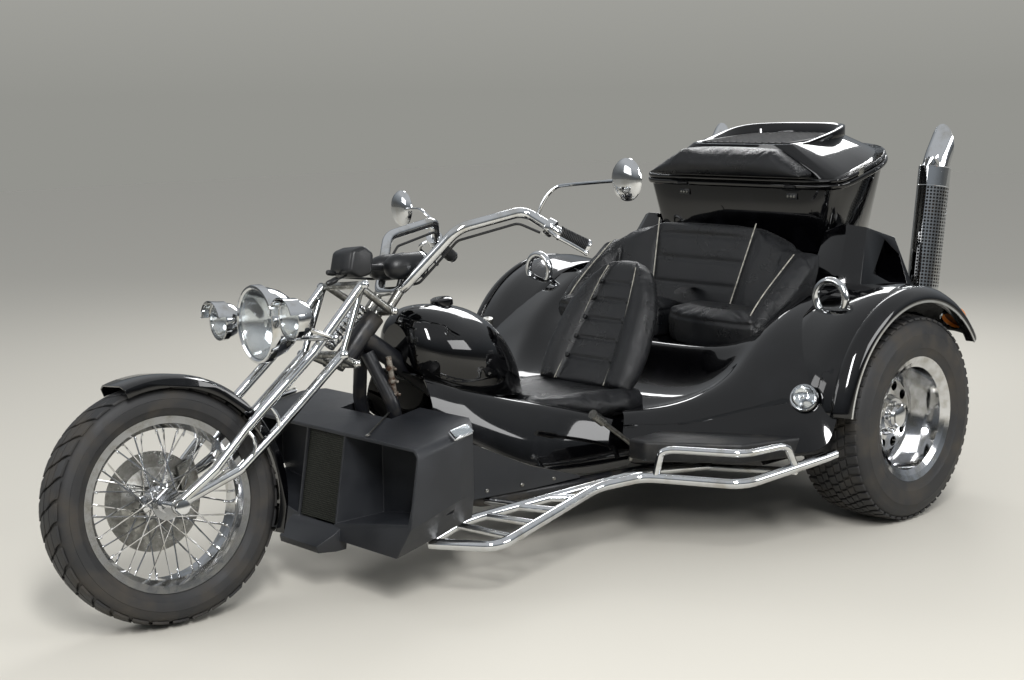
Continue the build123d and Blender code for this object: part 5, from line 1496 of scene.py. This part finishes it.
class TRIKE_OT_stack_shields(bpy.types.Operator):
    """Punch and roll the perforated heat shields of the exhaust stacks"""

    bl_idname = "trike.stack_shields"
    bl_label = "Stack shields"

    def execute(self, context):
        stack = pipe("stack_pipes", STACK_RUN, 0.0480, 0.060, sides=7)
        carve(stack, "DIFFERENCE", pipe("bore", ((-0.645, 0.520, 1.098), STACK_RUN[4], (-0.771, 0.520, 1.316)), 0.0455,
                                        0.060, sides=7),
              block(((-0.702, 1.100), (-0.692, 1.400), (-0.860, 1.400), (-0.860, 1.100)), 0.440, 0.600))
        settle(both_sides(stack), "chassis", "bright_chrome", ("exhaust_pipes",))
        # A dark sleeve just outside the pipe, inside the perforated shield, stands in for the shade seen through the
        # holes
        sleeve = turned("stack_sleeves", ((0.0490, 0.006), (0.0505, 0.010), (0.0505, 0.436), (0.0490, 0.440)),
                        STACK_FOOT, STACK_TOP - STACK_FOOT, steps=40)
        settle(both_sides(sleeve), "chassis", "cast_iron")
        turn = PERFORATED / HOLE_COLUMNS
        half = SHIELD_RADIUS * math.sin(turn / 2)
        face = SHIELD_RADIUS * math.cos(turn / 2)
        corners = ((1, 0), (1, 1), (0, 1), (-1, 1), (-1, 0), (-1, -1), (0, -1), (1, -1))
        hole = [(face, HOLE_RADIUS * math.cos(i * math.pi / 4), 0.018 + HOLE_RADIUS * math.sin(i * math.pi / 4))
                for i in range(8)]
        edge = [(face, half * y, 0.018 + HOLE_PITCH / 2 * z) for y, z in corners]
        sheet = ruled("shield", [hole, edge], closed=True)
        use(sheet, "ARRAY", count=HOLE_ROWS, use_relative_offset=False, use_constant_offset=True,
            constant_offset_displace=(0, 0, HOLE_PITCH), use_merge_vertices=True, merge_threshold=0.00005)
        ring_of(sheet, HOLE_COLUMNS, (0, 0, 0), (0, 0, 1), PERFORATED - turn)
        height = (STACK_TOP - STACK_FOOT).length
        low, high = 0.018 - HOLE_PITCH / 2, 0.018 + HOLE_PITCH * (HOLE_ROWS - 0.5)
        plain = [
            turned("plain_side", ((SHIELD_RADIUS, low), (SHIELD_RADIUS, high)), (0, 0, 0), (0, 0, 1), steps=20,
                   angle=math.tau - PERFORATED, start=PERFORATED - turn / 2),
            turned("top_band", ((SHIELD_RADIUS, high), (SHIELD_RADIUS, height - 0.002)), (0, 0, 0), (0, 0, 1), steps=48),
            turned("foot_band", ((SHIELD_RADIUS, 0.002), (SHIELD_RADIUS, low)), (0, 0, 0), (0, 0, 1), steps=48)]
        sheet = join("perforated_shields", [sheet, *plain])
        edit(sheet)
        close_up()
        use(sheet, "SOLIDIFY", thickness=0.0012, offset=0)
        rolls = [turned("rolled_edge", [(SHIELD_RADIUS + 0.0014 * math.cos(a), z + 0.0014 * math.sin(a)) for a in
                                        (0, 1.05, 2.09, 3.14, 4.19, 5.24, 0)], (0, 0, 0), (0, 0, 1), steps=48)
                 for z in (0.002, high + 0.002, height - 0.002)]
        strip = rod("shield_seam", (SHIELD_RADIUS, 0, 0.004), (SHIELD_RADIUS, 0, height - 0.004), 0.0022, sides=8)
        strip.matrix_world = Matrix.Rotation(PERFORATED + turn, 4, "Z")
        shield = join("perforated_shields", [sheet, *rolls, strip])
        run = STACK_TOP - STACK_FOOT
        shield.matrix_world = (Matrix.Translation(STACK_FOOT) @ Vector((0, 0, 1)).rotation_difference(run).to_matrix()
                               .to_4x4() @ Matrix.Rotation(math.radians(4), 4, "Z"))
        pick(shield)
        bpy.ops.object.transform_apply(location=True, rotation=True, scale=True)
        settle(both_sides(shield), "chassis", "bright_chrome", ("stack_shields",))
        return {"FINISHED"}


LENSES = (  # name, finish, slot, place, axis, radius, depth, node
    ("amber_lamps", "amber_lens", "amber_lens", (-0.300, 0.826, 0.638), (-0.72, 0, 0.69), 0.0375, 0.043,
     "tail_lamps"),
    ("red_lamps", "red_lens", "amber_lens", (-0.600, 0.420, 0.388), (-1, 0, 0), 0.0420, 0.021, "tail_lamps"),
    ("fender_lamps", "clear_glass", "clear_lens", (0.455, 0.765, 0.466), (0.82, 0.36, 0.40), 0.0385, 0.033,
     "clear_lamps"))
CORNER_LAMP = Vector((1.592, 0.420, 0.480))


class TRIKE_OT_body_lamps(bpy.types.Operator):
    """Turn the amber, red and clear lamps of the body and cut the corner lamps of the cowl"""

    bl_idname = "trike.body_lamps"
    bl_label = "Body lamps"

    def execute(self, context):
        rims, bowls = [], []
        for name, finish, slot, place, axis, radius, depth, node in LENSES:
            lens = turned(name, ((radius, -0.004), (radius, depth * 0.35), (radius * 0.93, depth * 0.68),
                                 (radius * 0.72, depth * 0.88), (radius * 0.38, depth * 0.97), (0.0, depth)), place,
                          axis, steps=40)
            settle(both_sides(lens), "chassis", finish, (node,))
            rims.append(turned("lamp_rim", ((radius + 0.0070, -0.006), (radius + 0.0070, 0.0040),
                                            (radius + 0.0040, 0.0085), (radius + 0.0004, 0.0080),
                                            (radius + 0.0004, -0.006)), place, axis, steps=40))
            if finish == "clear_glass":
                bowls.append(turned("lamp_bowl", ((radius * 0.95, depth * 0.28), (radius * 0.6, depth * 0.05),
                                                  (radius * 0.25, 0.0), (radius * 0.2, depth * 0.5),
                                                  (0.0, depth * 0.62)), place, axis, steps=40))
        settle(both_sides(join("lamp_rims", rims)), "chassis", "bright_chrome")
        out = Vector((0.1, 0.62, 0.78)).normalized()
        along = Vector((1, 0, -0.16))
        along = (along - out * along.dot(out)).normalized()
        over = out.cross(along)
        flat = [CORNER_LAMP + along * a * 0.036 + over * b * 0.016 for a, b in ((1, 1), (-1, 1), (-1, -1), (1, -1))]
        bowls.append(slab("corner_bowl", flat, out * 0.008, bevel=0.003))
        settle(both_sides(join("lamp_bowls", bowls)), "chassis", "lamp_reflector")
        lens = slab("corner_lenses", [point + out * 0.0082 for point in flat], out * 0.0075, bevel=0.005, segments=4)
        settle(both_sides(lens), "chassis", "clear_glass", ("clear_lamps",))
        return {"FINISHED"}


class TRIKE_OT_stage(bpy.types.Operator):
    """Add the pale floor, the soft studio light and the camera"""

    bl_idname = "trike.stage"
    bl_label = "Stage"

    def execute(self, context):
        bpy.ops.object.select_all(action="DESELECT")
        bpy.ops.mesh.primitive_plane_add(size=40)
        floor = context.object
        floor.name = "floor"
        paper = bpy.data.materials.new("pale_floor")
        paper.use_nodes = True
        paper.node_tree.nodes["Principled BSDF"].inputs["Base Color"].default_value = linear("#c9c5bb")
        paper.node_tree.nodes["Principled BSDF"].inputs["Roughness"].default_value = 0.85
        floor.data.materials.append(paper)

        world = bpy.data.worlds.new("studio")
        context.scene.world = world
        world.use_nodes = True
        tree = world.node_tree
        tree.nodes.clear()
        place = add_node(tree, "ShaderNodeTexCoord").outputs["Generated"]
        height = add_node(tree, "ShaderNodeSeparateXYZ", {"Vector": place}).outputs["Z"]
        sky = add_node(tree, "ShaderNodeValToRGB", {"Fac": between(tree, height, -0.1, 1.0)})
        for stop, colour in ((0.0, "#8d8c88"), (0.14, "#6f7274"), (0.3, "#a9afb5"), (0.62, "#eef1f4")):
            if stop == 0.0:
                mark = sky.color_ramp.elements[0]
            elif stop == 0.62:
                mark = sky.color_ramp.elements[-1]
            else:
                mark = sky.color_ramp.elements.new(stop)
            mark.position = stop
            mark.color = linear(colour)
        ray = add_node(tree, "ShaderNodeLightPath")
        lit = add_node(tree, "ShaderNodeBackground", {"Color": sky.outputs["Color"], "Strength": 0.62})
        haze = add_node(tree, "ShaderNodeValToRGB", {"Fac": height})
        for mark, stop, colour in zip(haze.color_ramp.elements, (0.0, 0.32), ("#93938e", "#c9c8c2")):
            mark.position = stop
            mark.color = linear(colour)
        seen = add_node(tree, "ShaderNodeBackground", {"Color": haze.outputs["Color"], "Strength": 1.0})
        mix = add_node(tree, "ShaderNodeMixShader", {0: ray.outputs["Is Camera Ray"], 1: lit.outputs[0],
                                                     2: seen.outputs[0]})
        add_node(tree, "ShaderNodeOutputWorld", {"Surface": mix.outputs[0]})

        for name, spot, aim, size, power in (
                ("key", (3.2, 4.2, 4.6), (0, 0, 0.5), (0.8, 3.2), 340),
                ("fill", (4.8, -2.6, 3.0), (0.3, 0, 0.5), (3.0, 2.0), 70),
                ("back", (-3.8, -2.5, 3.6), (-0.3, 0, 0.6), (3.0, 1.6), 110),
                ("side", (-2.2, 4.6, 2.4), (-0.4, 0, 0.4), (2.4, 1.6), 70)):
            bpy.ops.object.light_add(type="AREA", location=spot)
            lamp = context.object
            lamp.name = f"{name}_light"
            lamp.data.shape = "RECTANGLE"
            lamp.data.size, lamp.data.size_y = size
            lamp.data.energy = power
            lamp.rotation_euler = (Vector(aim) - Vector(spot)).to_track_quat("-Z", "Y").to_euler()

        yaw, pitch, roll = (math.radians(a) for a in (137.01, 8.88, -0.90))
        back = Vector((math.sin(yaw) * math.cos(pitch), -math.cos(yaw) * math.cos(pitch), math.sin(pitch)))
        right = (-back).cross(Vector((0, 0, 1))).normalized()
        up = right.cross(-back)
        across = right * math.cos(roll) + up * math.sin(roll)
        above = up * math.cos(roll) - right * math.sin(roll)
        bpy.ops.object.camera_add()
        camera = context.object
        camera.data.sensor_width = 36
        camera.data.lens = 56.03
        turn = Matrix((across, above, back)).transposed().to_4x4()
        camera.matrix_world = TO_FRAME @ Matrix.Translation((4.4826, 3.7423, 1.4341)) @ turn
        context.scene.camera = camera
        context.scene.view_settings.view_transform = "Standard"
        return {"FINISHED"}


class TRIKE_PT_sidebar(bpy.types.Panel):
    """Buttons for each part of the trike"""

    bl_idname = "TRIKE_PT_sidebar"
    bl_label = "Trike"
    bl_space_type = "VIEW_3D"
    bl_region_type = "UI"
    bl_category = "Trike"

    def draw(self, context):
        for operator in OPERATORS:
            self.layout.operator(operator.bl_idname)


OPERATORS = (
    TRIKE_OT_finishes, TRIKE_OT_tyres, TRIKE_OT_wheels, TRIKE_OT_fork, TRIKE_OT_front_lamps, TRIKE_OT_controls,
    TRIKE_OT_driver_seat, TRIKE_OT_bench, TRIKE_OT_nose, TRIKE_OT_rear_body,
    TRIKE_OT_trunk, TRIKE_OT_stack_shields, TRIKE_OT_body_lamps,
    TRIKE_OT_stage)
CLASSES = (TrikeColours, TrikeSizes, *OPERATORS, TRIKE_PT_sidebar)


def register():
    for one in CLASSES:
        bpy.utils.register_class(one)
    bpy.types.Scene.trike_colours = bpy.props.PointerProperty(type=TrikeColours)
    bpy.types.Scene.trike_sizes = bpy.props.PointerProperty(type=TrikeSizes)


def unregister():
    del bpy.types.Scene.trike_sizes
    del bpy.types.Scene.trike_colours
    for one in reversed(CLASSES):
        bpy.utils.unregister_class(one)


def main():
    register()
    for operator in OPERATORS:
        group, name = operator.bl_idname.split(".")
        getattr(getattr(bpy.ops, group), name)()


if __name__ == "__main__":
    main()
